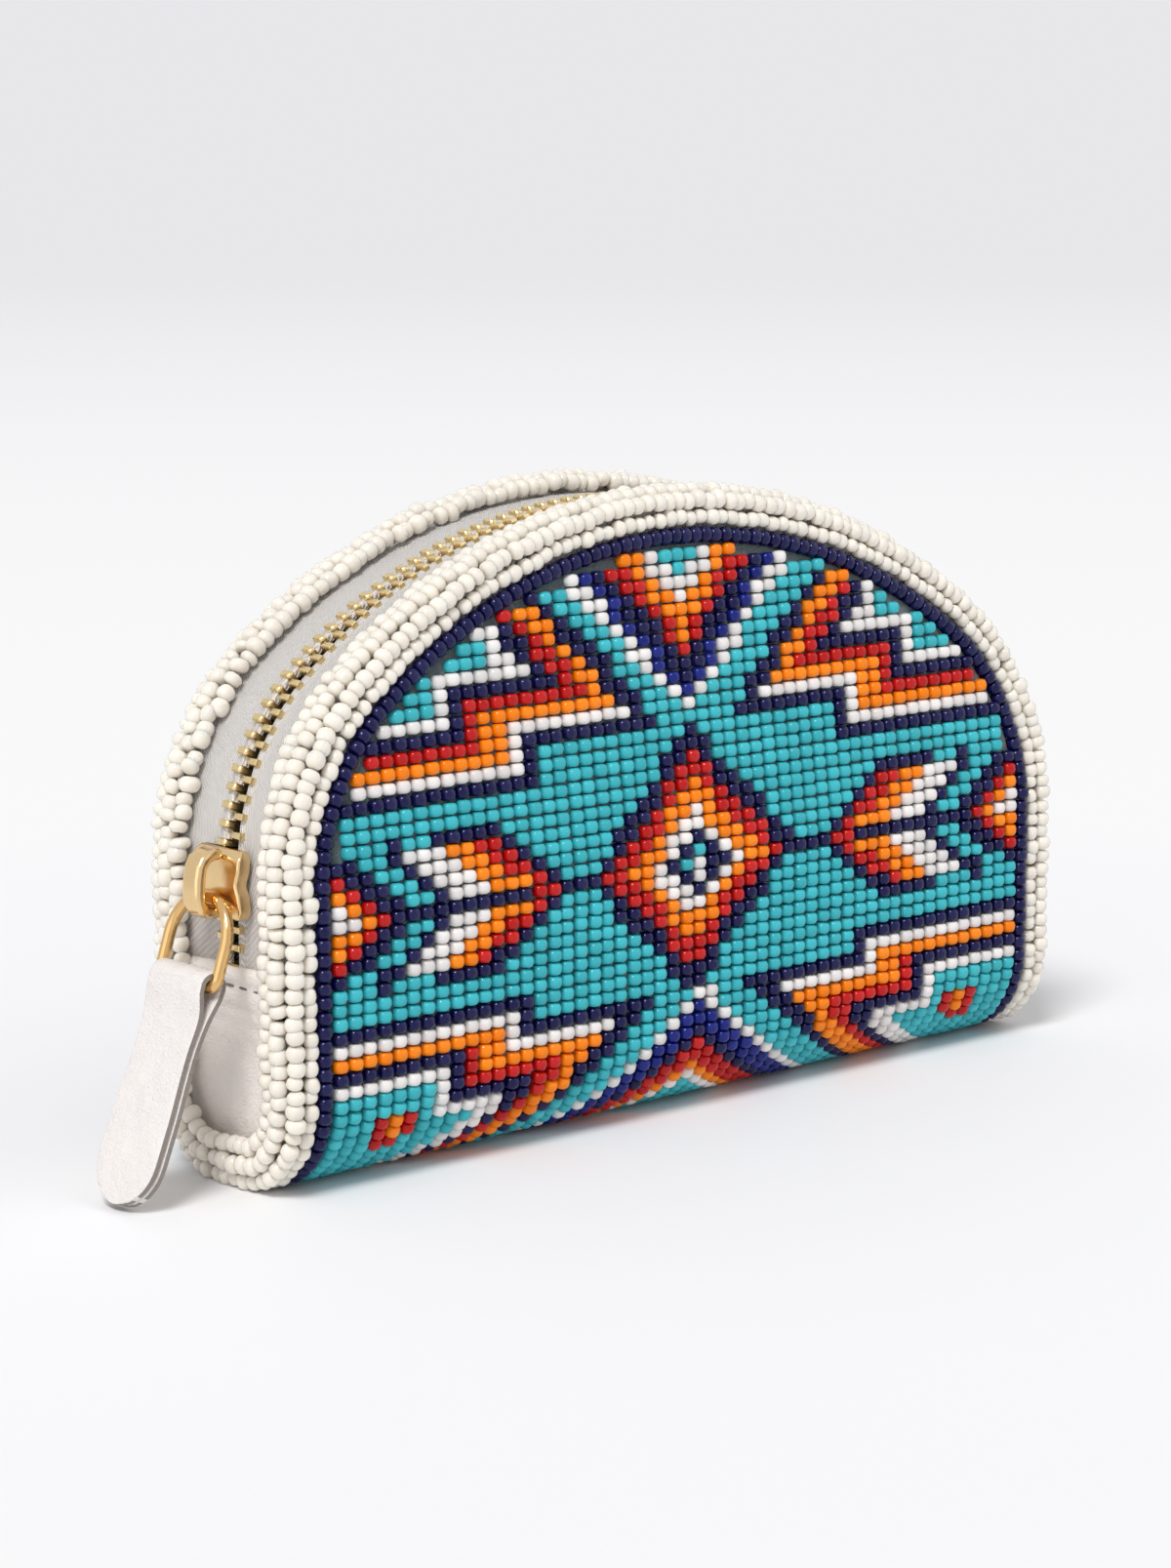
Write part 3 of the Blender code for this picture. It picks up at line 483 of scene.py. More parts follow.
def top_corner(column, row):
    """Stepped bands: the level is the lesser of the slanting one and of the one from the steps."""
    c = abs(column)
    shifted = c + (1 if column < 0 else 0)
    rise = -row - 1.13 * shifted
    if shifted < 4:
        return None
    if rise >= (7.4 if shifted <= 4 else 8.1):
        return "turquoise"
    slanted = 1 if rise >= (6.05 if c < 10 else 7.0) else pick([(0, 7), (2.1, 6), (3.35, 5), (4.8, 4), (9, 3)], rise)
    runs = min(max(-10 - row, 0), 7)
    outer = min(max(-7 - row, 0), 7)
    riser = {12: 1, 13: 2, 14: 3, 15: 3, 16: 4, 17: 5, 18: 6}.get(c, 7 if c >= 19 else 0)
    level = min(slanted, max(min(riser, outer), runs))
    if slanted == 1 and level:
        return "navy"
    return BAND_COLOURS[level] if level else None


def low_corner(c, row):
    slant = row - 10 - c
    if slant >= -3:
        return "turquoise" if slant < 0 else None
    slanted = {-4: 1, -5: 1 if c < 10 else 3, -6: 3, -7: 3 if c < 11 else 4, -8: 4 if c < 13 else 5,
               -9: 5 if c < 15 else 6, -10: 6}.get(slant, 7)
    outer = {8: 1, 9: 2, 10: 3, 11: 5, 12: 6}.get(row, 0 if row < 8 else 7)
    inner = {10: 1, 11: 2, 12: 3, 13: 4, 14: 5, 15: 6}.get(row, 0 if row < 10 else 7)
    riser = {13: 1, 14: 2, 15: 3, 16: 3, 17: 4, 18: 5, 19: 6}.get(c, 0 if c < 13 else 7)
    level = min(slanted, max(min(outer, riser), inner))
    if slanted == 1 and level:
        return "navy"
    return BAND_COLOURS[level] if level else None


def flower(c, row):
    if c == 22 and row in (15, 16):
        return "orange"
    return "red" if (c, row) in ((22, 17), (23, 15), (23, 16), (23, 17), (21, 15), (21, 16)) else None


def bead_colour(column, row):
    c = abs(column)
    found = (top_vee(c, row) or low_vee(column, row) or diamond(column, row) or arrow(c, row) or end_diamond(c, row)
             or flower(c, row) or top_corner(column, row) or low_corner(c, row))
    return found or "turquoise"


tally = {}
for row in range(-24, 25):
    for column in range(-LAST_COLUMN, LAST_COLUMN + 1):
        shade = bead_colour(column, row)
        tally[shade] = tally.get(shade, 0) + 1
print("charted beads by colour:", tally)

# %% [markdown]
# Now the needlework. Down each column the beads sit one row apart on the face and a touch closer round the fold, and
# the back repeats the front in mirror image. A bead is left out where the outline's strings would cover it. Every
# colour of a side becomes one mesh, which keeps the scene quick to read and to draw.
# %% Sew the beads
BEAD_WIDTH, BEAD_HEIGHT, BEAD_EDGE, FIRST_ROW = 2.02, 1.5, -1.5, -26


def row_run(row):
    start = HAUNCH_Z - ROW_ZERO_Z
    first = (STRAIGHT - start) / ROW_PITCH
    if row <= first:
        return start + row * ROW_PITCH
    return STRAIGHT + (row - first) * (FOLD_LENGTH + FLAT_HALF) / (MIDDLE_ROW - first)


sewn = {}
for column in range(-LAST_COLUMN, LAST_COLUMN + 1):
    sway = [chance.normal(0, 0.05), chance.uniform(0, 6.3)]
    for side in (-1, 1):
        for row in range(FIRST_ROW, MIDDLE_ROW + (1 if side < 0 else 0)):
            x = column * COLUMN_PITCH
            run = row_run(row)
            if edge_of(x, HAUNCH_Z - run) > BEAD_EDGE:
                continue
            x += sway[0] + 0.06 * math.sin(0.35 * row + sway[1])
            centre, out, down = skin(x, run, 0.5 * BEAD_WIDTH, side)
            place = bead_place(centre, down, out, BEAD_WIDTH, BEAD_HEIGHT)
            sewn.setdefault((bead_colour(column, row), side), []).append(place)
for (shade, side), places in sorted(sewn.items()):
    points, faces = stamp(BEAD, places)
    slot = {"cobalt": "navy_bead"}.get(shade, shade + "_bead")
    name = "beads_%s_%s" % (shade, "front" if side < 0 else "back")
    show(name, points, faces, bead_material[shade], slot)
print("sewn beads:", sum(len(places) for places in sewn.values()))

# %% [markdown]
# The model holds the panel as smooth sheets with fields of colour on them. The sewn beads stand for all of those: each
# field is replaced by the beads of its own colour, and the ground sheet by the turquoise ones.
# %% Beads stand for the model's fields
FIELD_WORDS = ("diamond", "arrow", "edge", "band", "vee")
for node in sorted(frame["nodes"]):
    if node.split("_")[0] in FIELD_WORDS:
        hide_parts(node)
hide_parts("bead_ground")

# %% [markdown]
# Under the beads lies a grey-green felt that shows as a dark line between columns. It is one folded sheet like the
# panel itself, so its rows run from the front apex down, under and up the back, a bead's radius under the crowns.
# %% Lay the felt under the beads
FELT_DEPTH, FELT_EDGE = 1.35, -1.0


def thickened(piece, thickness):
    solid = piece.modifiers.new("thickness", "SOLIDIFY")
    solid.thickness = thickness * MM
    return piece


def folded_rows(depth, edge, steps=30):
    rows = []
    for side in (-1, 1):
        half = []
        for step in range(1, steps + 1):
            x, z = rim(edge, math.pi / 2 * step / steps)
            half.append((x, side * (HALF_DEPTH - depth) + lean(z), z))
        curl = [fold(depth, math.pi / 2 * step / 10) for step in range(11)]
        half += [(HALF_WIDTH + edge, side * out, z) for out, z in curl]
        rows += half if side < 0 else half[::-1]
    return rows


felt_rows = folded_rows(FELT_DEPTH, FELT_EDGE)
felt_points = [(sign * x, y, z) for x, y, z in felt_rows for sign in (-1, 1)]
felt_faces = [(2 * k, 2 * k + 2, 2 * k + 3, 2 * k + 1) for k in range(len(felt_rows) - 1)]
thickened(show("panel_felt", felt_points, felt_faces, felt, "felt"), 0.6)
print("felt rows:", len(felt_rows))

# %% [markdown]
# One navy string and four pearl ones go right round the panel's edge. `string_places` walks along the closed way and
# puts a bead at each pitch, with its hole along the string. The pearls are hand sewn over a rolled edge, so they get
# more play than the navy ones, and the back ones most of all.
# %% String the navy beads and the pearls


def string_places(edge, depth, pitch, width, height, play):
    way = closed_loop(edge, depth)
    way = np.vstack([way, way[:1]])
    lengths = np.concatenate([[0], np.cumsum(np.linalg.norm(np.diff(way, axis=0), axis=1))])
    count = int(lengths[-1] / pitch)
    places = []
    for k in range(count):
        at = lengths[-1] * k / count
        centre = np.array([np.interp(at, lengths, way[:, axis]) for axis in range(3)])
        ahead = np.array([np.interp((at + 0.3) % lengths[-1], lengths, way[:, axis]) for axis in range(3)])
        along = Vector(ahead - centre).normalized()
        out = Vector((centre[0], 2.0 * centre[1], centre[2] - HAUNCH_Z)).normalized()
        loose = play * (1.5 if centre[1] > 0 else 1.0)
        places.append(bead_place(centre, along, out, width, height, loose))
    return places


navy_places = string_places(0.0, STRING_DEPTH, 1.66, 2.05, 1.58, 1.0)
navy_string = show("beads_navy_string", *stamp(BEAD, navy_places), bead_material["navy"], "navy_bead")
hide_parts("navy_string")
PEARL_STRINGS = [(2.1, 1.05, 1.72, 1.95), (4.15, 1.1, 1.68, 2.26), (5.0, 3.05, 1.75, 2.26), (4.75, 5.15, 1.7, 2.26)]
PEARL_HEIGHT, PEARL_PLAY = 1.78, 3.1
pearl_count = 0
for number, (edge, depth, pitch, width) in enumerate(PEARL_STRINGS, 1):
    places = string_places(edge, depth, pitch, width, PEARL_HEIGHT, PEARL_PLAY)
    pearls = show("pearls_%d" % number, *stamp(PEARL, places), pearl_material, "pearl_bead")
    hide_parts("pearl_string_%d" % number)
    pearl_count += len(places)
print("navy string:", len(navy_places), "beads; pearls:", pearl_count)

# %% [markdown]
# The zip tape is a thin woven strip that bends over the arch. Its inner edge is a corded bead of cloth that the teeth
# clamp, so the section swells there. The strip is drawn as one closed loop of points, carried along the arch.
# %% Weave the zip tape
TAPE_FOOT_Z, ARCH_STATIONS = 22.0, 110


def arch_way(foot_z):
    """Stations (turn, drop) from one foot over the arch to the other."""
    feet = [HAUNCH_Z - foot_z - 2.0 * step for step in range(int((HAUNCH_Z - foot_z) / 2.0) + 1)]
    turns = [math.pi / 2 * (2 * step / ARCH_STATIONS - 1) for step in range(ARCH_STATIONS + 1)]
    return ([(-math.pi / 2, drop) for drop in feet] + [(turn, 0.0) for turn in turns]
            + [(math.pi / 2, drop) for drop in reversed(feet)])


def lofted(sections):
    """Joins closed sections, row by row, to a solid with both ends shut."""
    count = len(sections[0])
    points = [point for section in sections for point in section]
    faces = []
    for row in range(len(sections) - 1):
        for k in range(count):
            n = (k + 1) % count
            low, high = row * count, (row + 1) * count
            faces.append((low + k, low + n, high + n, high + k))
    faces.append(tuple(range(count - 1, -1, -1)))
    faces.append(tuple((len(sections) - 1) * count + k for k in range(count)))
    return points, faces


def outward(made):
    """Turns every face to point out, and keeps crisp edges crisp."""
    bm = bmesh.new()
    bm.from_mesh(made.data)
    bmesh.ops.recalc_face_normals(bm, faces=bm.faces)
    bm.to_mesh(made.data)
    bm.free()
    made.data.set_sharp_from_angle(angle=math.radians(42))
    return made


TAPE_SECTION = [(0.95, 2.9), (1.05, 2.45), (1.5, 2.3), (2.1, 2.4), (2.6, 2.5), (3.4, 2.5), (6.0, 2.5), (9.9, 2.5),
                (9.9, 3.3), (6.0, 3.32), (3.4, 3.28), (2.6, 3.22), (2.1, 3.3), (1.7, 3.5), (1.3, 3.5), (1.05, 3.3)]
for word, side in (("front", -1), ("back", 1)):
    sections = []
    for turn, drop in arch_way(TAPE_FOOT_Z):
        ripple = 0.05 * math.sin(9 * turn + side) + 0.03 * math.sin(23 * turn)
        section = []
        for out, edge in TAPE_SECTION:
            x, z = rim(edge + ripple, turn, drop)
            section.append((x, side * out + lean(z), z))
        sections.append(section)
    tape = outward(show("tape_" + word, *lofted(sections), tape_cloth, "zip_tape"))
    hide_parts("zip_tape_" + word)
print("tape stations:", len(sections))

# %% [markdown]
# Each tooth is a small stamped block with a waist and a rounded head, clamped on the corded edge. The two sides are
# half a pitch apart, so the heads lie between each other. The block's top is drawn in a little for a soft rim.
# %% Stamp the teeth
TOOTH_OUTLINE = [(-0.44, 2.1), (0.44, 2.1), (0.44, 1.2), (0.36, 0.95), (0.48, 0.62), (0.28, 0.34), (-0.28, 0.34),
                 (-0.48, 0.62), (-0.36, 0.95), (-0.44, 1.2)]
TOOTH_LAYERS = [(2.0, 1.0), (3.65, 1.0), (3.97, 0.94), (4.1, 0.78)]
CHAIN_END_Z, CHAIN_EDGE, TOOTH_MIDDLE = 26.3, 2.9, 1.35


def chain_station(travel, edge):
    length = abs(travel)
    crown = (CROWN_RADIUS + edge) * CROWN_TURN
    haunch = (HAUNCH_RADIUS + edge) * (math.pi / 2 - CROWN_TURN)
    if length <= crown:
        return math.copysign(length / (CROWN_RADIUS + edge), travel), 0.0
    if length <= crown + haunch:
        return math.copysign(CROWN_TURN + (length - crown) / (HAUNCH_RADIUS + edge), travel), 0.0
    return math.copysign(math.pi / 2, travel), length - crown - haunch


def tooth_points(travel, side):
    points = []
    for edge, share in TOOTH_LAYERS:
        for along, out in TOOTH_OUTLINE:
            x, z = rim(edge, *chain_station(travel + along * share, CHAIN_EDGE))
            points.append((x, side * (TOOTH_MIDDLE + (out - TOOTH_MIDDLE) * share) + lean(z), z))
    return points


CHAIN_HALF = ((CROWN_RADIUS + CHAIN_EDGE) * CROWN_TURN
              + (HAUNCH_RADIUS + CHAIN_EDGE) * (math.pi / 2 - CROWN_TURN)
              + HAUNCH_Z - CHAIN_END_Z)
tooth_count = int((2 * CHAIN_HALF - 1.2) / TOOTH_PITCH)
for word, side, shift in (("front", -1, 0.0), ("back", 1, 0.5)):
    points, faces = [], []
    for index in range(tooth_count):
        travel = (index + shift - 0.5 * tooth_count) * TOOTH_PITCH + 0.5
        layers = tooth_points(travel, side)
        count = len(TOOTH_OUTLINE)
        more = lofted([layers[k * count:(k + 1) * count] for k in range(len(TOOTH_LAYERS))])[1]
        faces += [tuple(len(points) + corner for corner in face) for face in more]
        points += layers
    teeth = outward(show("teeth_" + word, points, faces, tooth_brass, "brass"))
    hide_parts("zip_teeth_" + word)
print("teeth on each side:", tooth_count)

# %% [markdown]
# The slider is cast: a plate with turned-down lips over the chain, a smaller plate under it and a post between them.
# Its section is swept round the haunch, and the width swells at the shoulders. A Bevel rounds what the mould rounds.
# %% Cast the slider
SLIDER_LENGTH, SLIDER_RADIUS = 8.0, 33.6
SLIDER_TURN, SLIDER_REACH = math.radians(5.0), 0.5 * SLIDER_LENGTH / SLIDER_RADIUS
SLIDER_WIDTHS = [(0.0, 0.88), (0.14, 1.0), (0.3, 0.98), (0.5, 0.86), (0.74, 0.98), (0.88, 1.0), (1.0, 0.9)]
PLATE_HALF, PLATE_TOP, PLATE_EDGE, LIP_EDGE, LIP_WALL = 4.3, 5.6, 4.4, 3.8, 0.78
LOW_HALF, LOW_TOP, LOW_EDGE, POST_HALF = 3.2, 1.4, 0.5, 0.25


def smooth_through(knots, at):
    """A value that passes softly through (place, value) knots."""
    for (start, first), (end, last) in zip(knots, knots[1:]):
        if at <= end:
            share = min(max((at - start) / (end - start), 0.0), 1.0)
            return first + (last - first) * share * share * (3 - 2 * share)
    return knots[-1][1]


def slider_point(turn, out, edge):
    radius = HAUNCH_RADIUS + edge
    z = HAUNCH_Z + radius * math.sin(turn)
    return (-HAUNCH_X - radius * math.cos(turn), out + LEAN_SLOPE * (z - HAUNCH_Z), z)


def slider_width(share):
    """Broad shoulders, a waist, a broad foot and rounded ends."""
    return smooth_through(SLIDER_WIDTHS, share)


def rounded(piece, width, segments=3, angle=30):
    bevel = piece.modifiers.new("bevel", "BEVEL")
    bevel.width = width * MM
    bevel.segments = segments
    bevel.limit_method = "ANGLE"
    bevel.angle_limit = math.radians(angle)
    return piece


sections = []
for station in range(25):
    share = station / 24
    wide = slider_width(share)
    outer, inner = PLATE_HALF * wide, LOW_HALF * wide
    top = PLATE_TOP - 0.75 * max(0.0, share - 0.88) / 0.12
    half = [(outer, top), (outer, LIP_EDGE), (outer - LIP_WALL, LIP_EDGE), (outer - LIP_WALL, PLATE_EDGE),
            (POST_HALF, PLATE_EDGE), (POST_HALF, LOW_TOP), (inner, LOW_TOP), (inner, LOW_EDGE)]
    ring = half + [(-out, edge) for out, edge in reversed(half)]
    turn = SLIDER_TURN - SLIDER_REACH + 2 * SLIDER_REACH * share
    sections.append([slider_point(turn, out, edge) for out, edge in ring])
slider = outward(show("slider", *lofted(sections), plated_gold, "brass", "slider"))
rounded(slider, 0.3)
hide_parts("slider_body")
print("slider: %.1f mm long" % SLIDER_LENGTH)

# %% [markdown]
# The bridge is a strip bent over the slider that traps the ring. It is an outline of its side view, given a width,
# with generous rounding on every edge.
# %% Bend the bridge
UP = Vector((math.sin(SLIDER_TURN), 0.0, math.cos(SLIDER_TURN)))
OUT = Vector((-math.cos(SLIDER_TURN), 0.0, math.sin(SLIDER_TURN)))


def slider_place(lead, edge, out):
    place = Vector((-HAUNCH_X, 0.0, HAUNCH_Z)) + OUT * (HAUNCH_RADIUS + edge) + UP * lead
    place.y = out + LEAN_SLOPE * (place.z - HAUNCH_Z)
    return tuple(place)


BRIDGE_OUTER = [(-3.7, 5.5), (-4.0, 6.6), (-3.95, 7.7), (-3.45, 8.7), (-2.5, 9.25), (-1.4, 9.35), (0.4, 9.25),
                (1.9, 8.95), (2.95, 8.4), (3.6, 7.4), (3.85, 6.5), (3.95, 5.5)]
BRIDGE_INNER = [(2.65, 5.5), (2.6, 6.4), (2.3, 7.1), (1.6, 7.65), (0.4, 7.85), (-1.2, 7.95), (-2.0, 7.9), (-2.6, 7.4),
                (-2.75, 6.7), (-2.6, 5.5)]
BRIDGE_HALF = 1.5
sections = [[slider_place(lead, edge, out) for lead, edge in BRIDGE_OUTER + BRIDGE_INNER]
            for out in (-BRIDGE_HALF, BRIDGE_HALF)]
bridge = rounded(outward(show("bridge", *lofted(sections), plated_gold, "brass", "slider")), 0.5, 4, 40)
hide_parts("slider_bridge")
print("bridge points:", len(BRIDGE_OUTER + BRIDGE_INNER))

# %% [markdown]
# The ring is a D of round wire: a half circle through the bridge, two strands and a straight bar for the tab. A curve
# with a bevel makes wire of any form. It hangs at the joint's own place, on the ring's body.
# %% Bend the ring
ring_top = joints["ring_swing"] / MM
ring_bar = joints["tab_swing"] / MM
RING_HEIGHT = (ring_bar - ring_top).length
down_ring = (ring_bar - ring_top).normalized()
RING_HALF, RING_CORNER, WIRE = 5.3, 1.3, 0.72
ring_path = [(RING_HALF * math.cos(math.pi * k / 40), RING_HALF * (1 - math.sin(math.pi * k / 40))) for k in range(41)]
ring_path += [(-RING_HALF + RING_CORNER * (1 - math.cos(math.pi * k / 24)),
               RING_HEIGHT - RING_CORNER * (1 - math.sin(math.pi * k / 24))) for k in range(13)]
ring_path += [(RING_HALF - RING_CORNER * (1 - math.sin(math.pi * k / 24)),
               RING_HEIGHT - RING_CORNER * (1 - math.cos(math.pi * k / 24))) for k in range(13)]
ring_curve = bpy.data.curves.new("ring", "CURVE")
ring_curve.dimensions = "3D"
ring_curve.bevel_depth = WIRE * MM
ring_curve.bevel_resolution = 6
wire = ring_curve.splines.new("POLY")
wire.points.add(len(ring_path) - 1)
for point, (out, down) in zip(wire.points, ring_path):
    point.co = (*((ring_top + down_ring * down + Vector((0, out, 0))) * MM), 1.0)
wire.use_cyclic_u = True
wire.use_smooth = True
ring = bpy.data.objects.new("ring", ring_curve)
ring_curve.materials.append(ring_gold)
bpy.context.scene.collection.objects.link(ring)
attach(ring, "ring")
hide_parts("pull_ring")
print("ring: %.1f mm high" % RING_HEIGHT)

# %% [markdown]
# The pull tab is one strip of leather folded round the ring's bar and glued to itself, so both layers show at its raw
# edge. The strip's way goes up the outer layer, round the bar and down the inner one, and its width follows the
# tab's outline: a slim neck that swells to a round end.
# %% Fold the pull tab
TAB_LENGTH, END_HALF, LAYER, BEND = 26.3, 5.35, 0.95, 1.5
TAB_TURN = math.radians(4.3)
TAB_KNOTS = [(0.0, 4.9), (3.0, 5.15), (8.0, 4.85), (17.0, 5.3), (20.0, END_HALF)]
STRIP_SECTION = [(1, -0.32), (0.965, -0.46), (0.9, -0.5), (0.45, -0.5), (-0.45, -0.5), (-0.9, -0.5), (-0.965, -0.46),
                 (-1, -0.32), (-1, 0.32), (-0.965, 0.46), (-0.9, 0.5), (-0.45, 0.5), (0.45, 0.5), (0.9, 0.5),
                 (0.965, 0.46), (1, 0.32)]
TIP_Z = 12.0


def tab_half_width(down):
    past = down - (TAB_LENGTH - END_HALF)
    width = smooth_through(TAB_KNOTS, down)
    return min(width, math.sqrt(max(END_HALF ** 2 - past ** 2, 0.04))) if past > 0 else width


def strip_section(centre, out, half):
    """A flat rounded bar across the strip: out is the way through the layer."""
    return [tuple(centre + Vector((0, across * half, 0)) + out * (through * LAYER))
            for across, through in STRIP_SECTION]


down_tab = down_ring.copy()
down_tab.rotate(Matrix.Rotation(TAB_TURN, 3, "Y"))
off_tab = Vector((0, 1, 0)).cross(down_tab).normalized()
sections = []
tip = [TAB_LENGTH - END_HALF * (1 - math.cos(math.pi / 2 * k / 10)) for k in range(10)]
stem = [(TAB_LENGTH - END_HALF) * (1 - k / 24) for k in range(24)]
one_side = [(0.5 * LAYER + 0.02 + (BEND - 0.5 * LAYER) * math.exp(-((down / 2.6) ** 2)), down) for down in tip + stem]
bend = [(BEND * math.cos(math.pi * k / 18), -BEND * math.sin(math.pi * k / 18)) for k in range(1, 18)]
route = one_side + bend + [(-off, down) for off, down in reversed(one_side)]
for k, (off, down) in enumerate(route):
    before, after = route[max(k - 1, 0)], route[min(k + 1, len(route) - 1)]
    way = Vector((after[0] - before[0], after[1] - before[1])).normalized()
    through = off_tab * -way[1] + down_tab * way[0]
    sections.append(strip_section(ring_bar + off_tab * off + down_tab * down, through, tab_half_width(max(down, 0.0))))
tab = outward(show("tab", *lofted(sections), tab_leather, "leather", "tab"))
tab.data.materials.append(raw_leather)
for polygon in tab.data.polygons:
    if abs(polygon.normal.y) > 0.75 or (polygon.normal.dot(down_tab) > 0.8 and polygon.center.z < TIP_Z * MM):
        polygon.material_index = 1
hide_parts("pull_tab")
print("tab stations:", len(sections))

# %% [markdown]
# The two ends are filled with soft leather that puckers where it is sewn in. Each is one sheet, a fine grid that a few
# folds push in and out, more so towards the top. It runs up over the end of the tape as a padded hem, with a dent
# where the stitches pull and its upper edge turned in.
# %% Fit the leather ends
END_LOW, SHOULDER, GUSSET_HALF, HEM_HALF = 3.6, 21.0, 9.85, 7.1
END_BULGE = [(3.6, 2.9), (15.0, 2.95), (18.5, 3.2), (20.5, 3.6), (22.3, 4.05), (23.1, 4.18), (23.6, 3.95),
             (24.1, 4.2), (24.9, 4.4), (25.5, 4.3), (25.8, 4.0)]
END_LIP = [(25.92, 3.7), (25.7, 3.35), (25.0, 3.25)]
PUCKER_SHARES = [(3.6, 0.42), (19.5, 0.42), (22.5, 0.2), (25.8, 0.12)]
STITCH_PROFILE = [(-1.0, 0.4), (-0.85, 0.85), (-0.4, 1.0), (0.4, 1.0), (0.85, 0.85), (1.0, 0.4)]
STITCHES, STITCH_PITCH, THREAD_HALF = 5, 2.7, 0.17


def pucker(y, z):
    """Soft folds: strongest under the hem, running down and in, with finer creases across them."""
    fall = max(0.0, (z - 5.0) / 17.0)
    folds = 0.32 * fall * math.sin(1.05 * abs(y) + 0.35 * (z - 12)) + 0.18 * math.sin(0.55 * z + 0.8 * y)
    fine = 0.1 * fall * math.sin(2.3 * z + 1.6 * abs(y)) + 0.12 * noise.noise(Vector((0.9 * y, 0.8 * z, 7.0)))
    return folds + fine + 0.5 * noise.noise(Vector((0.3 * y, 0.22 * z, 3.0))) - 0.15


def end_half(z):
    if z > SHOULDER - 0.6:
        return smooth_through([(SHOULDER - 0.6, GUSSET_HALF), (SHOULDER + 0.4, HEM_HALF)], z)
    if z >= FOLD_HEIGHT:
        return GUSSET_HALF
    sine = min(1.0, (FOLD_HEIGHT - z) / (FOLD_HEIGHT - 3.5))
    return FLAT_HALF + (FOLD_REACH - 3.5) * math.sqrt(1 - sine * sine)


def gusset_sheet(name, side):
    rows, columns, points = 56, 30, []
    heights = [END_LOW + (END_BULGE[-1][0] - END_LOW) * row / rows for row in range(rows + 1)]
    ways = [(z, smooth_through(END_BULGE, z)) for z in heights] + END_LIP
    for z, edge in ways:
        half = end_half(z)
        loose = smooth_through(PUCKER_SHARES, z)
        for column in range(columns + 1):
            y = half * (2 * column / columns - 1)
            calm = min(1.0, (half - abs(y)) / 2.0)
            sag = 0.12 * math.sin(0.9 * y + side) if z > 24 else 0.0
            points.append((side * (HALF_WIDTH + edge + loose * calm * pucker(y, z)), y, z + sag))
    wide = columns + 1
    faces = [(r * wide + c, r * wide + c + 1, (r + 1) * wide + c + 1, (r + 1) * wide + c)
             for r in range(len(ways) - 1) for c in range(columns)]
    if side < 0:
        faces = [face[::-1] for face in faces]
    return thickened(show(name, points, faces, gusset_leather, "leather"), 0.5)


def stitches(name, side):
    places = []
    for k in range(STITCHES):
        centre = (side * (HALF_WIDTH + 3.97), -5.4 + STITCH_PITCH * k, 23.6 + 0.06 * math.sin(3 * k))
        places.append((centre, [(0.0, 0.0, THREAD_HALF), (side * THREAD_HALF, 0.0, 0.0), (0.0, 0.8, 0.0)]))
    return show(name, *stamp(turned_form(STITCH_PROFILE, 8), places), thread_cotton, "leather")


for word, side in (("left", -1), ("right", 1)):
    plate = gusset_sheet("gusset_" + word + "_leather", side)
    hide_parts("gusset_" + word)
    outward(stitches("stitches_" + word, side))
print("both ends are fitted")

# %% [markdown]
# What the model already holds in its true form keeps its own mesh and only gets a better finish: the stops of the
# zip, the backing cloth and the lining.
# %% Finish the model's own pieces
KEPT = {"zip_stop_left": tooth_brass, "zip_stop_right": tooth_brass,
        "backing_panel": lining_cloth, "lining": lining_cloth}
for node, material in KEPT.items():
    kept = frame["nodes"][node]
    kept.data.materials.clear()
    kept.data.materials.append(material)
print("kept:", ", ".join(KEPT))

# %% [markdown]
# The stage is one endless sheet of pale paper. Near the purse it is real paper that takes the shadow. Farther off,
# what the camera and the shiny things see of it goes over into the backdrop's own colour, so no horizon shows. Three
# suns with wide discs stand for softboxes: the main one high on the left.
# %% Set the floor and the lights
REACH = 40.0
PAPER, BRIGHT_BACKDROP, FAR_BACKDROP = linear(243, 243, 244), linear(249, 249, 250), linear(231, 231, 234)
floor_data = bpy.data.meshes.new("floor")
corners = [(-REACH, -REACH, 0), (REACH, -REACH, 0), (REACH, REACH, 0), (-REACH, REACH, 0)]
floor_data.from_pydata(corners, [], [(0, 1, 2, 3)])
floor = bpy.data.objects.new("floor", floor_data)
bpy.context.scene.collection.objects.link(floor)
floor_finish = Finish("floor_paper", Roughness=0.7, Specular_IOR_Level=0.2)
floor_finish.feed("Base Color", floor_finish.blend(floor_finish.cloud(60, 3.0) * 0.1, PAPER, linear(238, 238, 240)))
spot, _ = floor_finish.place()
distance = floor_finish.node("VectorMath", {"operation": "LENGTH"}, {0: spot}, 1)


def fade(start, end):
    return floor_finish.node("MapRange", {"interpolation_type": "SMOOTHSTEP"},
                             {"Value": distance, "From Min": start, "From Max": end})


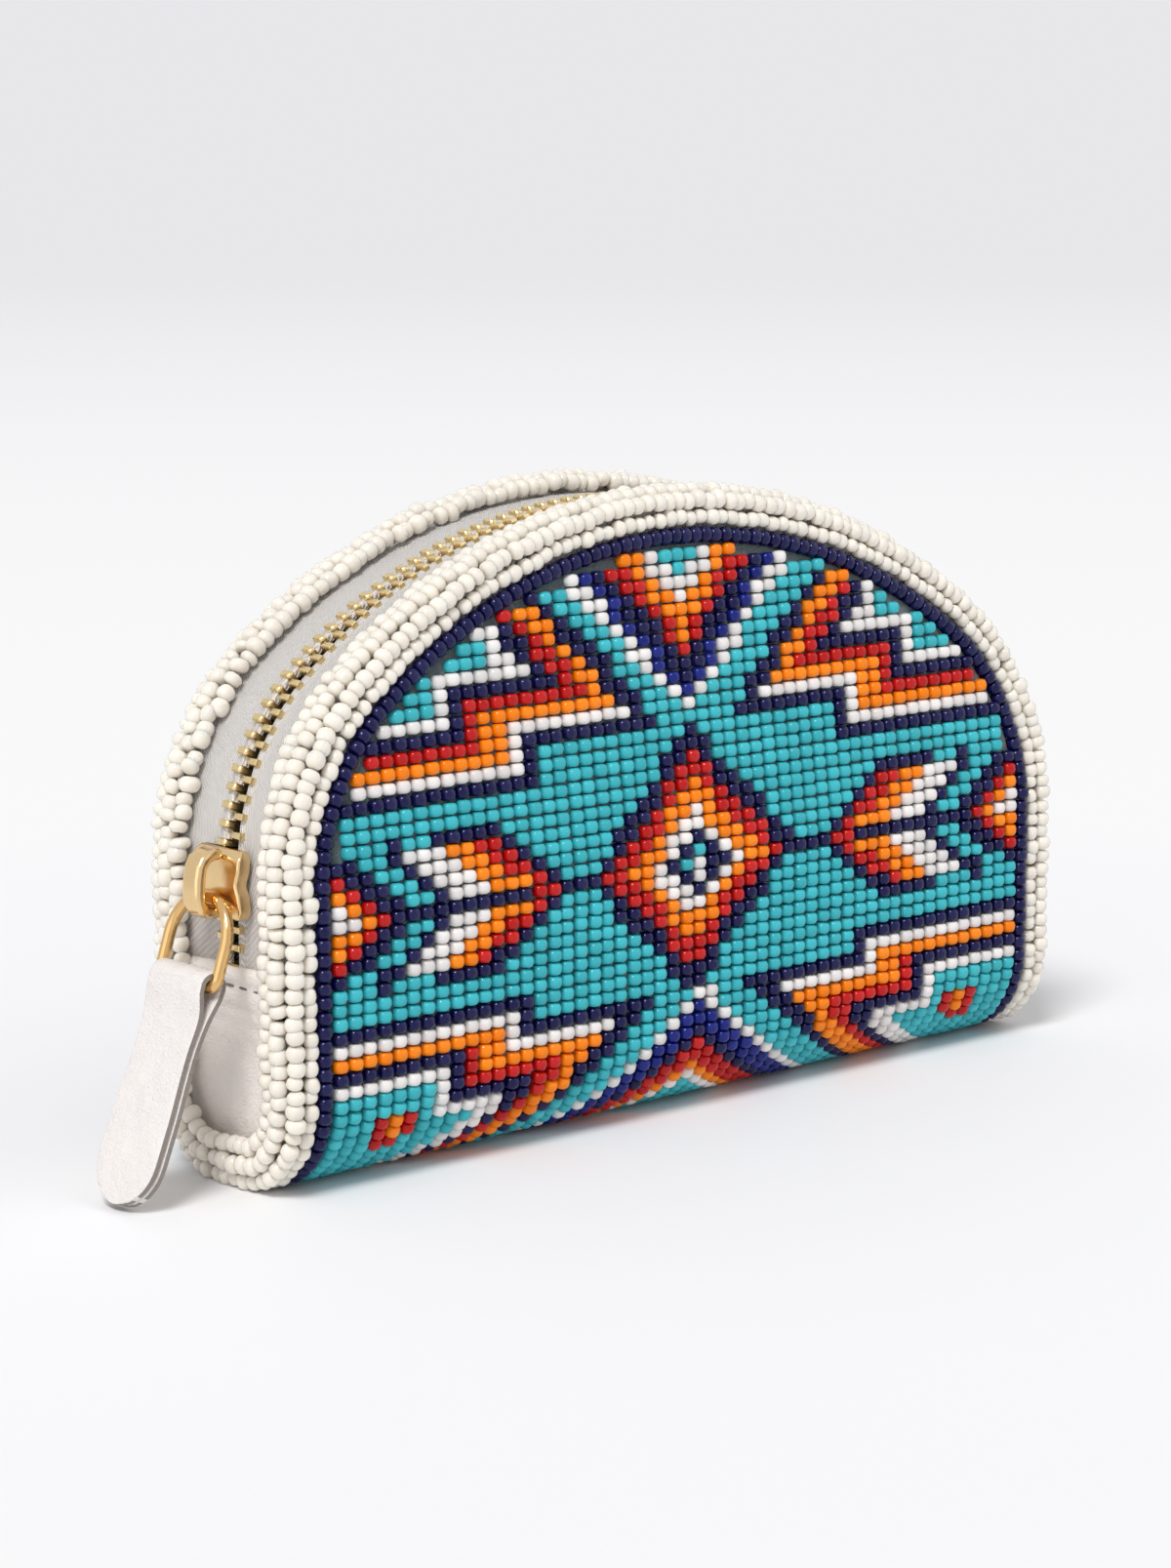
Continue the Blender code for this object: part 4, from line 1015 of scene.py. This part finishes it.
backdrop = floor_finish.blend(fade(0.08, 0.2), PAPER, BRIGHT_BACKDROP)
backdrop = floor_finish.blend(fade(0.2, 2.0), backdrop, FAR_BACKDROP)
glowing = floor_finish.node("BsdfPrincipled", None, {"Base Color": (0.0, 0.0, 0.0, 1.0), "Specular IOR Level": 0.0,
                                                     "Emission Color": backdrop, "Emission Strength": 1.0})
seen = floor_finish.node("LightPath", out=0) + floor_finish.node("LightPath", out=3)
paper = Wire(floor_finish.shader.outputs[0])
both = floor_finish.node("MixShader", None, {0: seen * fade(0.09, 0.22), 1: paper, 2: glowing})
join(floor_finish.tree.nodes["Material Output"].inputs["Surface"], both)
floor_data.materials.append(floor_finish.material)

world = bpy.data.worlds.new("studio")
bpy.context.scene.world = world
world.use_nodes = True
sky = world.node_tree
path = sky.nodes.new("ShaderNodeLightPath")
rays = Wire(path.outputs["Is Camera Ray"]) + Wire(path.outputs["Is Glossy Ray"])
glow = sky.nodes["Background"]
glow.inputs["Color"].default_value = FAR_BACKDROP
SKY = 0.6
join(glow.inputs["Strength"], rays * (1 - SKY) + SKY)


def sun(name, place, width, strength):
    light = bpy.data.lights.new(name, "SUN")
    light.energy, light.angle = strength, math.radians(width)
    made = bpy.data.objects.new(name, light)
    made.rotation_euler = (-Vector(place)).to_track_quat("-Z", "Y").to_euler()
    bpy.context.scene.collection.objects.link(made)


sun("key", (-0.5, -0.3, 0.85), 20.0, 1.9)
sun("fill", (0.7, -0.6, 0.5), 60.0, 0.35)
sun("side", (-1.0, -0.1, 0.3), 60.0, 0.5)
print("floor and three lamps are set")

# %% [markdown]
# The camera stands at the photograph's place: a long lens, low, on the left front corner. Its place is worked out from
# the angle, the height and the distance to a point on the purse.
# %% Stand the camera
AZIMUTH, ELEVATION, DISTANCE = math.radians(-41.859), math.radians(10.374), 483.763
TARGET = Vector((-19.367, -13.4, 43.557))
LENS = 94.12
back = Vector((math.sin(AZIMUTH) * math.cos(ELEVATION), -math.cos(AZIMUTH) * math.cos(ELEVATION), math.sin(ELEVATION)))
camera_data = bpy.data.cameras.new("camera")
camera_data.sensor_width = 36.0
camera_data.lens = LENS
camera = bpy.data.objects.new("camera", camera_data)
camera.location = (TARGET + back * DISTANCE) * MM
camera.rotation_euler = (-back).to_track_quat("-Z", "Y").to_euler()
camera_data.clip_start, camera_data.clip_end = 0.01, 100.0
bpy.context.scene.collection.objects.link(camera)
bpy.context.scene.camera = camera
bpy.context.scene.view_settings.view_transform = "Standard"
print("camera at", [round(v, 3) for v in camera.location])
